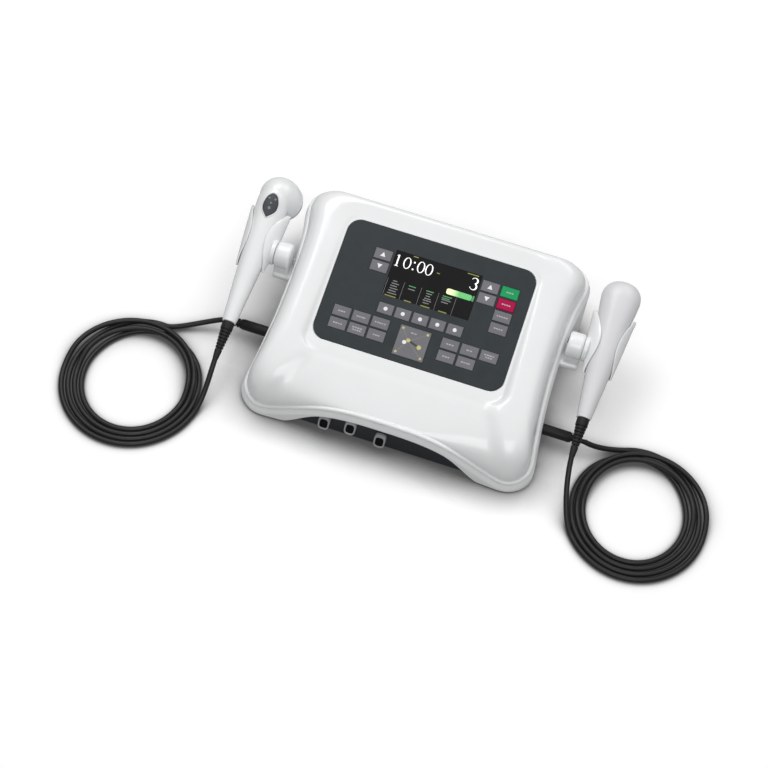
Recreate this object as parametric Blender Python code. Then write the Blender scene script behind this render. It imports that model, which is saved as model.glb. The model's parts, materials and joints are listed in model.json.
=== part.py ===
"""Tabletop ultrasound and light therapy console with two cradled handsets and their coiled leads.

Run it with blender --background --python part.py, or from the text editor. Lengths are metres, +Z is up,
the user stands at -Y, and the origin is on the table under the middle of the whole set.
"""

import math

import bmesh
import bpy
import numpy as np
from mathutils import Matrix, Vector

# ---------------------------------------------------------------- driving dimensions
MM = 0.001
CONSOLE_Y = 0.037534  # the console's own centre, from the middle of the whole set
GAP = 0.4 * MM  # clearance between neighbouring pieces

PANEL_TILT = math.radians(17.0)
PANEL_W, PANEL_H, PANEL_R = 223 * MM, 148 * MM, 16 * MM
PANEL_Y, PANEL_Z = 25 * MM, 96 * MM
OVERLAY_T = 1.4 * MM

KEY_W, KEY_H, KEY_T = 20.2 * MM, 12.7 * MM, 2.2 * MM
KEY_PROUD = 0.7 * MM
KEY_PITCH_X, KEY_PITCH_Y = 22.7 * MM, 14.8 * MM
SOFT_PITCH_X = 20.3 * MM
SOFT_KEY_W = 18.0 * MM
TARGET_KEY = 36 * MM
SCREEN_W, SCREEN_H = 101 * MM, 54.5 * MM
SCREEN_Y = 24.2 * MM

RIM_HALF_W, WAIST_Y = 158.5 * MM, 20 * MM  # half width at the waist, and where the waist is
RIM_FRONT_EAR, RIM_BACK_EAR = 10 * MM, 11 * MM  # how far the corners stand out beyond the waist
RIM_FRONT_Y, RIM_BACK_Y = -113 * MM, 137 * MM
RIM_FRONT_BOW = 5 * MM
RIM_CORNER_FRONT, RIM_CORNER_BACK = 30 * MM, 32 * MM
RIM_Z0, RIM_SLOPE = 21 * MM, 0.316
RIM_FRONT_LIFT = 38 * MM  # how far the rim arches up in the middle of the front
RIM_SIDE_LIFT = 4 * MM
LEG_X, ARCH_X = 114 * MM, 68 * MM  # the front arch springs from the legs at LEG_X and is full by ARCH_X
SKIRT_FLARE = 4.5 * MM
SKIRT_H = 12 * MM
WALL = 3 * MM

HANDSET_X = 206.8 * MM
HANDSET_SLOPE = math.radians(16.5)
HANDSET_Z, HANDSET_Y = 50 * MM, -47 * MM  # the tail of the longer handset's axis
PROBE_SHIFT = 17 * MM  # the shorter handset starts this far up the same axis
PIVOT_Y = 45 * MM
BARREL_R = 15 * MM
CRADLE_LENGTH, CRADLE_FRONT = 76 * MM, 28 * MM  # CRADLE_FRONT is its reach ahead of the pivot

CABLE_R = 2.8 * MM
COIL_X = 292 * MM
SOCKET_Y = {-1: -23.5 * MM, 1: -36.5 * MM}  # the left socket sits a little further back
SOCKET_Z = 18 * MM
PLUG_R = 6.2 * MM

CAVITY_Z = 4 * MM  # underside of the chassis floor
FOOT_R, FOOT_X, FOOT_FRONT_Y, FOOT_BACK_Y = 8 * MM, 118 * MM, -86 * MM, 104 * MM

FRONT_STEPS, CORNER_STEPS, SIDE_STEPS, BACK_STEPS = 8, 5, 8, 5

# the nominal slope of the handsets' axis, for placing things along it
AXIS = Vector((0, math.cos(HANDSET_SLOPE), math.sin(HANDSET_SLOPE)))


# ---------------------------------------------------------------- scene and materials
def clear_scene():
    for obj in list(bpy.data.objects):
        bpy.data.objects.remove(obj, do_unlink=True)


def new_collection(name):
    found = bpy.data.collections.new(name)
    bpy.context.scene.collection.children.link(found)
    return found


def material(name, colour, roughness, metallic=0.0):
    made = bpy.data.materials.new(name)
    made.use_nodes = True
    shader = made.node_tree.nodes["Principled BSDF"]
    shader.inputs["Base Color"].default_value = (*colour, 1.0)
    shader.inputs["Roughness"].default_value = roughness
    shader.inputs["Metallic"].default_value = metallic
    made.diffuse_color = (*colour, 1.0)
    return made


clear_scene()
PARTS = new_collection("ultrasound_therapy_device")
CUTTERS = new_collection("cutters")
CUTTERS.hide_render = True

WHITE = material("gloss_white_shell", (0.88, 0.89, 0.90), 0.22)
PROBE_WHITE = material("satin_white_probe", (0.74, 0.74, 0.76), 0.35)
OVERLAY_GREY = material("overlay_charcoal", (0.045, 0.052, 0.057), 0.45)
KEY_GREY = material("key_grey", (0.18, 0.18, 0.20), 0.5)
START_GREEN = material("key_green", (0.02, 0.36, 0.12), 0.5)
STOP_RED = material("key_red", (0.35, 0.0, 0.045), 0.5)
SCREEN_BLACK = material("screen_glass", (0.012, 0.011, 0.012), 0.15)
CHASSIS_DARK = material("chassis_charcoal", (0.018, 0.021, 0.025), 0.5)
RUBBER = material("black_rubber", (0.012, 0.012, 0.013), 0.6)
CABLE_BLACK = material("cable_black", (0.014, 0.014, 0.015), 0.45)
CONNECTOR_GREY = material("connector_grey", (0.30, 0.31, 0.32), 0.4)
METAL = material("treatment_face_metal", (0.75, 0.76, 0.78), 0.25, 1.0)
LENS_AMBER = material("probe_lens", (0.30, 0.03, 0.03), 0.1)
BOARD_GREEN = material("circuit_board", (0.02, 0.16, 0.06), 0.5)
SUPPLY_METAL = material("supply_cage", (0.62, 0.63, 0.65), 0.4, 1.0)


# ---------------------------------------------------------------- frames
def empty(name, parent, location, rotation=(0, 0, 0)):
    made = bpy.data.objects.new(name, None)
    PARTS.objects.link(made)
    made.parent = parent
    made.location = location
    made.rotation_euler = rotation
    return made


CONSOLE = empty("console_frame", None, (0, CONSOLE_Y, 0))
PANEL = empty("panel_frame", CONSOLE, (0, PANEL_Y, PANEL_Z), (PANEL_TILT, 0, 0))
PANEL_MATRIX = Matrix.Translation((0, PANEL_Y, PANEL_Z)) @ Matrix.Rotation(PANEL_TILT, 4, "X")
PANEL_UP = (PANEL_MATRIX.to_3x3() @ Vector((0, 0, 1))).normalized()


def handset_point(along, across=0.0, above=0.0, side=1):
    """A point in the console frame, from the handset axis: along it, across it outwards, and above it."""
    start = Vector((side * HANDSET_X, HANDSET_Y, HANDSET_Z))
    above_axis = Vector((0, -math.sin(HANDSET_SLOPE), math.cos(HANDSET_SLOPE)))
    return start + AXIS * along + Vector((side * across, 0, 0)) + above_axis * above


# ---------------------------------------------------------------- mesh helpers
def finish(name, mesh, parent, surface, location=(0, 0, 0), rotation=(0, 0, 0), smooth=40):
    """One named object from a mesh given in its own frame."""
    obj = bpy.data.objects.new(name, mesh)
    PARTS.objects.link(obj)
    obj.parent = parent
    obj.location = location
    obj.rotation_euler = rotation
    mesh.materials.append(surface)
    mesh.shade_smooth()
    mesh.set_sharp_from_angle(angle=math.radians(smooth))
    return obj


def mesh_of(bm, name):
    bmesh.ops.recalc_face_normals(bm, faces=bm.faces)
    mesh = bpy.data.meshes.new(name)
    bm.to_mesh(mesh)
    bm.free()
    return mesh


def loft(name, rings, caps=False, closed=False):
    """Skins rings of equally many points. caps fills both ends; closed joins the last to the first."""
    bm = bmesh.new()
    rows = [[bm.verts.new(point) for point in ring] for ring in rings]
    pairs = list(zip(rows, rows[1:]))
    if closed:
        pairs.append((rows[-1], rows[0]))
    count = len(rows[0])
    for lower, upper in pairs:
        for i in range(count):
            j = (i + 1) % count
            bm.faces.new((lower[i], lower[j], upper[j], upper[i]))
    if caps:
        bm.faces.new(rows[0])
        bm.faces.new(rows[-1])
    return mesh_of(bm, name)


def box_mesh(name, size, bevel=0.0, segments=1):
    bm = bmesh.new()
    bmesh.ops.create_cube(bm, size=1.0, matrix=Matrix.Diagonal((*size, 1.0)))
    if bevel:
        bmesh.ops.bevel(bm, geom=bm.edges[:], offset=bevel, segments=segments, affect="EDGES", profile=0.5)
    return mesh_of(bm, name)


def cylinder_mesh(name, radius, length, sides=24, matrix=None):
    """A cylinder along Z, centred on the origin unless a matrix moves it."""
    bm = bmesh.new()
    turn = matrix if matrix is not None else Matrix.Identity(4)
    bmesh.ops.create_cone(
        bm, cap_ends=True, segments=sides, radius1=radius, radius2=radius, depth=length, matrix=turn
    )
    return mesh_of(bm, name)


def turned_mesh(name, profile, sides=24):
    """A solid of revolution about Y from (y, radius) pairs; the ends are closed with flat caps."""
    rings = []
    for y, radius in profile:
        angles = [2 * math.pi * k / sides for k in range(sides)]
        rings.append([Vector((radius * math.cos(a), y, radius * math.sin(a))) for a in angles])
    return loft(name, rings, caps=True)


def cutter(name, mesh, parent=None, location=(0, 0, 0), rotation=(0, 0, 0)):
    obj = bpy.data.objects.new(name, mesh)
    CUTTERS.objects.link(obj)
    obj.parent = parent
    obj.location = location
    obj.rotation_euler = rotation
    obj.hide_render = True
    obj.display_type = "WIRE"
    return obj


def boolean(obj, other, operation="DIFFERENCE"):
    step = obj.modifiers.new(other.name, "BOOLEAN")
    step.operation = operation
    step.solver = "EXACT"
    step.object = other
    return step


def smoothstep(t):
    t = min(max(t, 0.0), 1.0)
    return t * t * (3 - 2 * t)


# ---------------------------------------------------------------- console outlines
def half_rectangle(half_front, half_back, y_front, y_back, r_front, r_back):
    """The right half of a rounded rectangle, from the middle of the front to the middle of the back."""
    points = []
    for k in range(FRONT_STEPS):
        points.append((k / FRONT_STEPS * (half_front - r_front), y_front))
    for k in range(CORNER_STEPS):
        turn = math.radians(-90 + 90 * k / CORNER_STEPS)
        points.append(
            (
                half_front - r_front + r_front * math.cos(turn),
                y_front + r_front + r_front * math.sin(turn),
            )
        )
    for k in range(SIDE_STEPS):
        t = k / SIDE_STEPS
        points.append(
            (
                half_front + (half_back - half_front) * t,
                (y_front + r_front) * (1 - t) + (y_back - r_back) * t,
            )
        )
    for k in range(CORNER_STEPS):
        turn = math.radians(90 * k / CORNER_STEPS)
        points.append(
            (
                half_back - r_back + r_back * math.cos(turn),
                y_back - r_back + r_back * math.sin(turn),
            )
        )
    for k in range(BACK_STEPS + 1):
        points.append(((1 - k / BACK_STEPS) * (half_back - r_back), y_back))
    return points


def whole_ring(half):
    """Mirrors a half outline to the left, keeping the two middle points single."""
    left = [Vector((-p[0], *p[1:])) for p in half[-2:0:-1]]
    return [Vector(p) for p in half] + left


def panel_ring(half_front, half_back, y_front, y_back, radius, height):
    """A console-frame ring from an outline on the tilted panel; height is a number or a function."""
    half = half_rectangle(half_front, half_back, y_front, y_back, radius, radius)
    level = height if callable(height) else (lambda u, v: height)
    return whole_ring([PANEL_MATRIX @ Vector((u, v, level(u, v))) for u, v in half])


def rim_front_lift(x):
    """How far the rim rises above its corner level, at a distance x from the middle of the front."""
    t = min(abs(x) / (150 * MM), 1.0) ** 1.6
    return RIM_FRONT_LIFT * (1 - math.sin(math.pi / 2 * t) ** 2)


def rim_z(x, y):
    """Height of the rim: a sloping line, arched up along the front and a little along the sides."""
    line = RIM_Z0 + RIM_SLOPE * (y + 95 * MM)
    front = 1 - smoothstep((y + 116 * MM) / (26 * MM))
    side = math.sin(math.pi * min(max((y + 95 * MM) / (190 * MM), 0), 1))
    return line + rim_front_lift(x) * front + RIM_SIDE_LIFT * side


def ear(y):
    """How far the sides stand out beyond the waist: gently towards the front, later towards the back."""
    if y < WAIST_Y:
        return RIM_FRONT_EAR * min((WAIST_Y - y) / (110 * MM), 1.05) ** 2
    return RIM_BACK_EAR * min((y - WAIST_Y) / (100 * MM), 1.05) ** 3


def rim_half(offset=0.0):
    """Plan of the rim's right half, moved outwards by offset: waisted sides and a bowed front."""
    base = half_rectangle(
        RIM_HALF_W + offset,
        RIM_HALF_W + offset,
        RIM_FRONT_Y - offset,
        RIM_BACK_Y + offset,
        RIM_CORNER_FRONT + offset,
        RIM_CORNER_BACK + offset,
    )
    points = []
    for x, y in base:
        waist = ear(y) * x / RIM_HALF_W
        bow = RIM_FRONT_BOW * min(abs(x) / (141 * MM), 1.0) ** 2
        front = 1 - smoothstep((y + 110 * MM) / (60 * MM))
        points.append((x + waist, y - bow * front))
    return points


def rim_ring(offset, drop):
    """A ring that follows the rim, offset outwards and dropped below it."""
    heights = [rim_z(x, y) for x, y in rim_half()]
    return whole_ring([Vector((x, y, z - drop)) for (x, y), z in zip(rim_half(offset), heights)])


# ---------------------------------------------------------------- top shell
def shoulder_height(u, v):
    """The side shoulders are flatter than the panel, so they stand higher above it towards the front."""
    t = (80 * MM - v) / (155 * MM)
    side = smoothstep((abs(u) - 96 * MM) / (24 * MM))
    return side * (1.0 + 4.6 * min(max(t, 0), 1)) * MM


def crest_height(u, v):
    return shoulder_height(u, v) + 0.6 * MM


def roll_off(crest, rim, steps):
    """Rings that leave the crest along the panel and arrive at the rim steeply, like part of an ellipse."""
    rings = []
    for k in range(1, steps + 1):
        turn = math.pi / 2 * k / steps
        ring = []
        for inner, outer in zip(crest, rim):
            reach = outer - inner
            fall = PANEL_UP * reach.dot(PANEL_UP)
            across = (reach - fall) * math.sin(turn) ** 0.9
            ring.append(inner + across + fall * (1 - math.cos(turn)) ** 1.3)
        rings.append(ring)
    return rings


def make_top_shell():
    """The glossy upper cover: a platform with a recess and window for the panel, and a rolled rim."""
    half_w, half_h = PANEL_W / 2, PANEL_H / 2
    opening = (half_w - 8 * MM, half_h - 7 * MM, 10 * MM)
    recess = (half_w + GAP, half_h + GAP, PANEL_R)

    def flat(size, height):
        return panel_ring(size[0], size[0], -size[1], size[1], size[2], height)

    crest = panel_ring(134 * MM, 131 * MM, -98 * MM, 93 * MM, 30 * MM, crest_height)
    rim = rim_ring(-1.5 * MM, -0.6 * MM)
    outer = [
        flat(opening, -OVERLAY_T - GAP),
        flat(recess, -OVERLAY_T - GAP),
        flat(recess, 0.0),
        panel_ring(114.5 * MM, 113.5 * MM, -87 * MM, 77 * MM, 15 * MM, 0.0),
        panel_ring(122 * MM, 117.5 * MM, -90 * MM, 79.5 * MM, 19 * MM, shoulder_height),
        crest,
        *roll_off(crest, rim, 5),
        rim_ring(0.0, -1.9 * MM),
        rim_ring(1.8 * MM, -0.2 * MM),
        rim_ring(1.8 * MM, 1.4 * MM),
    ]
    inner_crest = panel_ring(130 * MM, 125 * MM, -95 * MM, 87 * MM, 28 * MM, -WALL)
    inner_rim = rim_ring(-WALL - 1.5 * MM, 1.4 * MM)
    under = [
        inner_rim,
        *reversed(roll_off(inner_crest, inner_rim, 5)[:-1]),
        inner_crest,
        flat(opening, -OVERLAY_T - GAP - WALL),
    ]
    mesh = loft("top_shell", outer + under, closed=True)
    return finish("top_shell", mesh, CONSOLE, WHITE)


# ---------------------------------------------------------------- lower shell and chassis
def leg_share(x, y):
    """1 where the skirt runs down into a leg, 0 in the arches between the legs."""
    along_front = max((abs(x) - ARCH_X) / (LEG_X - ARCH_X), 0) if y < -80 * MM else 1.0
    along_back = max((abs(x) - 50 * MM) / (LEG_X - 50 * MM), 0) if y > 100 * MM else 1.0
    forward = max((-44 * MM - y) / (32 * MM), 0)
    backward = max((y - 58 * MM) / (40 * MM), 0)
    along_side = max(forward, backward)
    return min(along_front, along_back, along_side, 1.0) ** 2.2


def skirt_ring(offset, lift=0.0):
    """The skirt's lower edge: near the rim in the arches and close to the table at the legs."""
    ring = []
    for x, y in rim_half():
        arch = rim_z(x, y) - SKIRT_H
        ring.append(arch + (1.6 * MM - arch) * leg_share(x, y) + lift)
    return whole_ring([Vector((x, y, z)) for (x, y), z in zip(rim_half(offset), ring)])


def blend_rings(first, second, t):
    return [a.lerp(b, t) for a, b in zip(first, second)]


def make_lower_shell():
    """The white skirt under the rim, flared outwards, with an arch in each side and four legs."""
    top = 1.4 * MM + GAP
    outer_top, outer_edge = rim_ring(1.8 * MM, top), skirt_ring(SKIRT_FLARE)
    flare = rim_ring(SKIRT_FLARE, 9 * MM)
    inner_top, inner_edge = rim_ring(-1.6 * MM, top), skirt_ring(SKIRT_FLARE - WALL)
    inner = rim_ring(SKIRT_FLARE - WALL - 0.5 * MM, 9 * MM)
    rings = [
        outer_top,
        flare,
        blend_rings(flare, outer_edge, 0.5),
        outer_edge,
        inner_edge,
        blend_rings(inner, inner_edge, 0.5),
        inner,
        inner_top,
    ]
    shell = finish("lower_shell", loft("lower_shell", rings, closed=True), CONSOLE, WHITE)
    for side in (-1, 1):
        notch_top = ARM_Z + ARM_T / 2 + GAP
        notch = cutter(
            f"arm_notch_{side}",
            box_mesh(f"arm_notch_{side}", (40 * MM, ARM_W + 2 * GAP, 30 * MM)),
            CONSOLE,
            (side * 160 * MM, PIVOT_Y, notch_top - 15 * MM),
        )
        boolean(shell, notch)
    return shell


def chassis_ring(inset, height):
    """Outline of the chassis box; height is a number, or None for the sloping top edge below the rim."""
    half = half_rectangle(
        148 * MM - inset, 148 * MM - inset, -110.8 * MM + inset, 122 * MM - inset, 20 * MM, 20 * MM
    )
    if height is not None:
        return whole_ring([Vector((x, y, height)) for x, y in half])
    return whole_ring([Vector((x, y, rim_z(x, min(y, 110 * MM)) - 8 * MM)) for x, y in half])


def make_chassis():
    """The dark box inside the skirt that carries the boards: a floor and low walls, open at the top."""
    wall, floor = 2.4 * MM, 2.4 * MM
    rings = [
        chassis_ring(0, CAVITY_Z),
        chassis_ring(0, None),
        chassis_ring(wall, None),
        chassis_ring(wall, CAVITY_Z + floor),
    ]
    chassis = finish("chassis_tray", loft("chassis_tray", rings, caps=True), CONSOLE, CHASSIS_DARK)
    window = cutter(
        "front_window_cutter",
        box_mesh("front_window_cutter", (190 * MM, 12 * MM, 60 * MM)),
        CONSOLE,
        (0, -110 * MM, 42 * MM),
    )
    boolean(chassis, window)
    for side in (-1, 1):
        hole = cutter(
            f"socket_hole_cutter_{side}",
            cylinder_mesh("socket_hole", 7.2 * MM, 12 * MM, matrix=Matrix.Rotation(math.pi / 2, 4, "Y")),
            CONSOLE,
            (side * 147 * MM, SOCKET_Y[side], SOCKET_Z),
        )
        boolean(chassis, hole)
    for name, width, height, x, z in (
        ("inlet_hole", 27 * MM + 2 * GAP, 20 * MM + 2 * GAP, 92 * MM, 30 * MM),
        ("switch_hole", 13 * MM + 2 * GAP, 20 * MM + 2 * GAP, 60 * MM, 30 * MM),
    ):
        hole = cutter(
            name, box_mesh(name, (width, 12 * MM, height)), CONSOLE, (x, 121 * MM, z)
        )
        boolean(chassis, hole)
    return chassis


FRONT_PANEL_Y, FRONT_PANEL_T = -113.2 * MM, 2.0 * MM
JACK_PLACES = (
    ("front_jack_left", -66.6, 25),
    ("front_jack_middle", -36, 31),
    ("front_jack_right", -1, 23.5),
)


def make_front_panel():
    """The dark connector panel behind the front arch, with a hole for each jack."""
    width, low, high = 214 * MM, 5.0 * MM, 40 * MM
    outline = []
    steps = 12
    for k in range(steps + 1):
        x = width / 2 * (1 - 2 * k / steps)
        top = min(rim_z(x, -115 * MM) - 12 * MM, high)
        outline.append((x, max(top, low + 3 * MM)))
    back_y, front_y = FRONT_PANEL_Y + FRONT_PANEL_T, FRONT_PANEL_Y
    rings = []
    for y in (front_y, back_y):
        ring = [Vector((x, y, z)) for x, z in outline]
        ring += [Vector((-width / 2, y, low)), Vector((width / 2, y, low))]
        rings.append(ring)
    panel = finish("front_panel", loft("front_panel", rings, caps=True), CONSOLE, CHASSIS_DARK, smooth=20)
    for name, x, z in JACK_PLACES:
        hole = cutter(
            f"{name}_hole",
            cylinder_mesh(f"{name}_hole", 5.2 * MM, 12 * MM, 20, Matrix.Rotation(math.pi / 2, 4, "X")),
            CONSOLE,
            (x * MM, FRONT_PANEL_Y, z * MM),
        )
        boolean(panel, hole)
    return panel


def make_jack(name, x, z):
    """A round jack: a body behind the panel and a stepped collar in front with a blind hole."""
    profile = [(-14, 4.0), (-14, 6.6), (-7.5, 6.8), (-2.4, 6.8), (-2.4, 4.8), (12, 4.8)]
    rings = [(y * MM, r * MM) for y, r in profile]
    inside = [(-4 * MM, 3.6 * MM), (-14 * MM, 3.6 * MM)]
    sides = 20
    loops = []
    for y, radius in [inside[1], *rings[1:]]:
        angles = [2 * math.pi * k / sides for k in range(sides)]
        loops.append([Vector((radius * math.cos(a), y, radius * math.sin(a))) for a in angles])
    angles = [2 * math.pi * k / sides for k in range(sides)]
    floor = [Vector((inside[0][1] * math.cos(a), inside[0][0], inside[0][1] * math.sin(a))) for a in angles]
    mesh = loft(name, [floor, *loops], caps=True)
    return finish(name, mesh, CONSOLE, CONNECTOR_GREY, (x * MM, FRONT_PANEL_Y + 2 * MM, z * MM))


def make_feet():
    for name, x, y in (
        ("foot_front_left", -FOOT_X, FOOT_FRONT_Y),
        ("foot_front_right", FOOT_X, FOOT_FRONT_Y),
        ("foot_back_left", -FOOT_X, FOOT_BACK_Y),
        ("foot_back_right", FOOT_X, FOOT_BACK_Y),
    ):
        height = CAVITY_Z - GAP
        bm = bmesh.new()
        bmesh.ops.create_cone(
            bm, cap_ends=True, segments=20, radius1=FOOT_R * 0.85, radius2=FOOT_R, depth=height
        )
        finish(name, mesh_of(bm, name), CONSOLE, RUBBER, (x, y, height / 2))


# ---------------------------------------------------------------- panel, screen and keys
def key_layout():
    """Name, centre u, centre v, width, height and colour of each key, on the panel."""
    left, right, far = -2.77 * KEY_PITCH_X, 2.81 * KEY_PITCH_X, 3.82 * KEY_PITCH_X
    row = 41.6 * MM
    keys = [
        ("key_time_up", left, row, KEY_W, KEY_H, KEY_GREY),
        ("key_time_down", left, row - KEY_PITCH_Y, KEY_W, KEY_H, KEY_GREY),
        ("key_level_up", right, row, KEY_W, KEY_H, KEY_GREY),
        ("key_level_down", right, row - KEY_PITCH_Y, KEY_W, KEY_H, KEY_GREY),
        ("key_start", far, row, KEY_W, KEY_H, START_GREEN),
        ("key_stop", far, row - KEY_PITCH_Y, KEY_W, KEY_H, STOP_RED),
        ("key_pause", far, row - 2 * KEY_PITCH_Y, KEY_W, KEY_H, KEY_GREY),
        ("key_menu", far, row - 3 * KEY_PITCH_Y, KEY_W, KEY_H, KEY_GREY),
        ("key_target", 0.3 * MM, -48.3 * MM, TARGET_KEY, TARGET_KEY, KEY_GREY),
    ]
    for k in range(5):
        u = (k - 2) * SOFT_PITCH_X + 0.5 * MM
        keys.append((f"soft_key_{k + 1}", u, -18.9 * MM, SOFT_KEY_W, KEY_H, KEY_GREY))
    rows = (-36.8 * MM, -51.6 * MM)
    for k in range(6):
        u = (-3.78 + k % 3) * KEY_PITCH_X
        keys.append((f"mode_key_{k + 1}", u, rows[k // 3], KEY_W, KEY_H, KEY_GREY))
    for k in range(5):
        u = (1.82 + k % 3) * KEY_PITCH_X
        keys.append((f"preset_key_{k + 1}", u, rows[k // 3], KEY_W, KEY_H, KEY_GREY))
    return keys


def rounded_plate(name, width, height, radius, low, high, corner=4):
    """A flat plate with round corners between two heights, in its own frame."""
    rings = []
    for z in (low, high):
        ring = []
        for cx, cy, start in ((1, -1, -90), (1, 1, 0), (-1, 1, 90), (-1, -1, 180)):
            for k in range(corner + 1):
                turn = math.radians(start + 90 * k / corner)
                ring.append(
                    Vector(
                        (
                            cx * (width / 2 - radius) + radius * math.cos(turn),
                            cy * (height / 2 - radius) + radius * math.sin(turn),
                            z,
                        )
                    )
                )
        rings.append(ring)
    return loft(name, rings, caps=True)


def make_overlay():
    """The charcoal panel with a window for the screen and an opening for each key."""
    mesh = rounded_plate("panel_overlay", PANEL_W, PANEL_H, PANEL_R, -OVERLAY_T, 0, corner=6)
    overlay = finish("panel_overlay", mesh, PANEL, OVERLAY_GREY)
    openings = [("screen", 0.9 * MM, SCREEN_Y, SCREEN_W, SCREEN_H, None), *key_layout()]
    for name, u, v, width, height, _ in openings:
        hole = cutter(
            f"{name}_opening",
            box_mesh(f"{name}_opening", (width + 2 * GAP, height + 2 * GAP, 6 * MM)),
            PANEL,
            (u, v, 0),
        )
        boolean(overlay, hole)
    return overlay


def make_keys():
    """Each key is a low cap that stands just proud of the panel and travels straight down."""
    for name, u, v, width, height, colour in key_layout():
        bm = bmesh.new()
        bmesh.ops.create_cube(bm, size=1.0, matrix=Matrix.Diagonal((width, height, KEY_T, 1.0)))
        top = [e for e in bm.edges if all(vert.co.z > 0 for vert in e.verts)]
        bmesh.ops.bevel(bm, geom=top, offset=0.5 * MM, segments=1, affect="EDGES")
        finish(name, mesh_of(bm, name), PANEL, colour, (u, v, KEY_PROUD - KEY_T / 2))


def make_screen():
    """The display module: its glass fills the window, and its metal back is a little larger."""
    back_t = 6 * MM
    mesh = box_mesh("display_module", (SCREEN_W, SCREEN_H, OVERLAY_T + 2 * MM))
    module = finish("display_module", mesh, PANEL, SCREEN_BLACK)
    module.location = (0.9 * MM, SCREEN_Y, -OVERLAY_T / 2 - 1.1 * MM)
    back = cutter(
        "display_back",
        box_mesh("display_back", (103 * MM, 60 * MM, back_t), 0.8 * MM),
        PANEL,
        (0.9 * MM, SCREEN_Y, -OVERLAY_T - GAP - back_t / 2),
    )
    boolean(module, back, "UNION")


def make_main_board():
    """The key and display board under the panel, with a low block for its connector."""
    board_t = 1.6 * MM
    plate = box_mesh("main_board", (196 * MM, 124 * MM, board_t))
    board = finish("main_board", plate, PANEL, BOARD_GREEN, (0, 0, -11 * MM))
    header = cutter(
        "board_header",
        box_mesh("board_header", (60 * MM, 12 * MM, 8 * MM)),
        PANEL,
        (0, -44 * MM, -11 * MM - 4.4 * MM),
    )
    boolean(board, header, "UNION")
    return board


def make_power_parts():
    supply = box_mesh("power_supply", (120 * MM, 66 * MM, 32 * MM), 2 * MM)
    finish("power_supply", supply, CONSOLE, SUPPLY_METAL, (-60 * MM, 60 * MM, 23 * MM))
    driver = box_mesh("ultrasound_driver", (96 * MM, 84 * MM, 12 * MM), 1 * MM)
    finish("ultrasound_driver", driver, CONSOLE, BOARD_GREEN, (70 * MM, 40 * MM, 14 * MM))
    inlet = finish(
        "power_inlet",
        box_mesh("power_inlet", (27 * MM, 22 * MM, 20 * MM), 1 * MM),
        CONSOLE,
        RUBBER,
        (92 * MM, 113.5 * MM, 30 * MM),
    )
    recess = box_mesh("inlet_socket", (22 * MM, 12 * MM, 14 * MM))
    socket = cutter("inlet_socket", recess, CONSOLE, (92 * MM, 121 * MM, 30 * MM))
    boolean(inlet, socket)
    make_power_switch()


SWITCH_PLACE = (60 * MM, 121 * MM, 30 * MM)
SWITCH_TILT = math.radians(8)


def make_power_switch():
    """A rocker: two faces that meet in a shallow V, turning about its middle across the opening."""
    half_w, half_h, depth = 6.2 * MM, 9.0 * MM, 7 * MM
    rise = half_h * math.tan(SWITCH_TILT)
    side = [
        (-depth, -half_h * 0.6),
        (-depth, half_h * 0.6),
        (rise, half_h),
        (0, 0),
        (0.6 * rise, -half_h),
    ]
    rings = [[Vector((x, y, z)) for y, z in side] for x in (-half_w, half_w)]
    mesh = loft("power_switch", rings, caps=True)
    finish("power_switch", mesh, CONSOLE, RUBBER, SWITCH_PLACE, smooth=20)


# ---------------------------------------------------------------- arms and cradles
def handset_along(y):
    """Distance along the handset axis at which it reaches console depth y."""
    return (y - HANDSET_Y) / math.cos(HANDSET_SLOPE)


PIVOT_POINT = handset_point(handset_along(PIVOT_Y))


ARM_W, ARM_T, ARM_Z = 31 * MM, 8 * MM, 53 * MM
BARREL_INNER_X, BARREL_OUTER_X = 165 * MM, 183.0 * MM


def make_arm(side, name):
    """A bracket from the chassis wall, through the skirt, that ends in a round barrel for the cradle."""
    inner_x, length = 148.5 * MM, BARREL_OUTER_X - BARREL_INNER_X
    plate = box_mesh(name, (BARREL_OUTER_X - inner_x, ARM_W, ARM_T), 1.5 * MM)
    arm = finish(name, plate, CONSOLE, WHITE, (side * (inner_x + BARREL_OUTER_X) / 2, PIVOT_Y, ARM_Z))
    middle_x = side * (BARREL_INNER_X + BARREL_OUTER_X) / 2
    post_h = PIVOT_POINT.z - ARM_Z + 2 * MM
    post = cutter(
        f"{name}_post",
        box_mesh(f"{name}_post", (length - 1 * MM, 24 * MM, post_h), 2.0 * MM),
        CONSOLE,
        (middle_x, PIVOT_Y, ARM_Z - 2 * MM + post_h / 2),
    )
    barrel = cutter(
        f"{name}_barrel",
        cylinder_mesh(f"{name}_barrel", BARREL_R, length, 32, Matrix.Rotation(math.pi / 2, 4, "Y")),
        CONSOLE,
        (middle_x, PIVOT_Y, PIVOT_POINT.z),
    )
    boolean(arm, post, "UNION")
    boolean(arm, barrel, "UNION")
    return arm


# handle radii along each handset, from the tail: (distance, half width, half height)
PROBE_SECTIONS = [
    (0, 8.2, 8.2), (4, 8.7, 8.7), (25, 10.9, 10.8), (55, 14.0, 13.6), (90, 17.0, 15.8),
    (120, 19.4, 16.6), (138, 21.7, 16.8), (149, 22.4, 16.4), (157, 20.2, 14.6), (163, 15.4, 11.4),
    (166.2, 8.6, 6.8), (167.2, 3.0, 2.6),
]
APPLICATOR_SECTIONS = [
    (0, 8.0, 8.0), (4, 8.5, 8.5), (25, 10.2, 10.1), (60, 13.0, 12.8), (95, 15.6, 15.2),
    (125, 17.6, 17.2), (145, 19.0, 18.6), (158, 18.6, 18.6), (168, 15.4, 16.0), (176, 8.0, 9.0),
]
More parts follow.
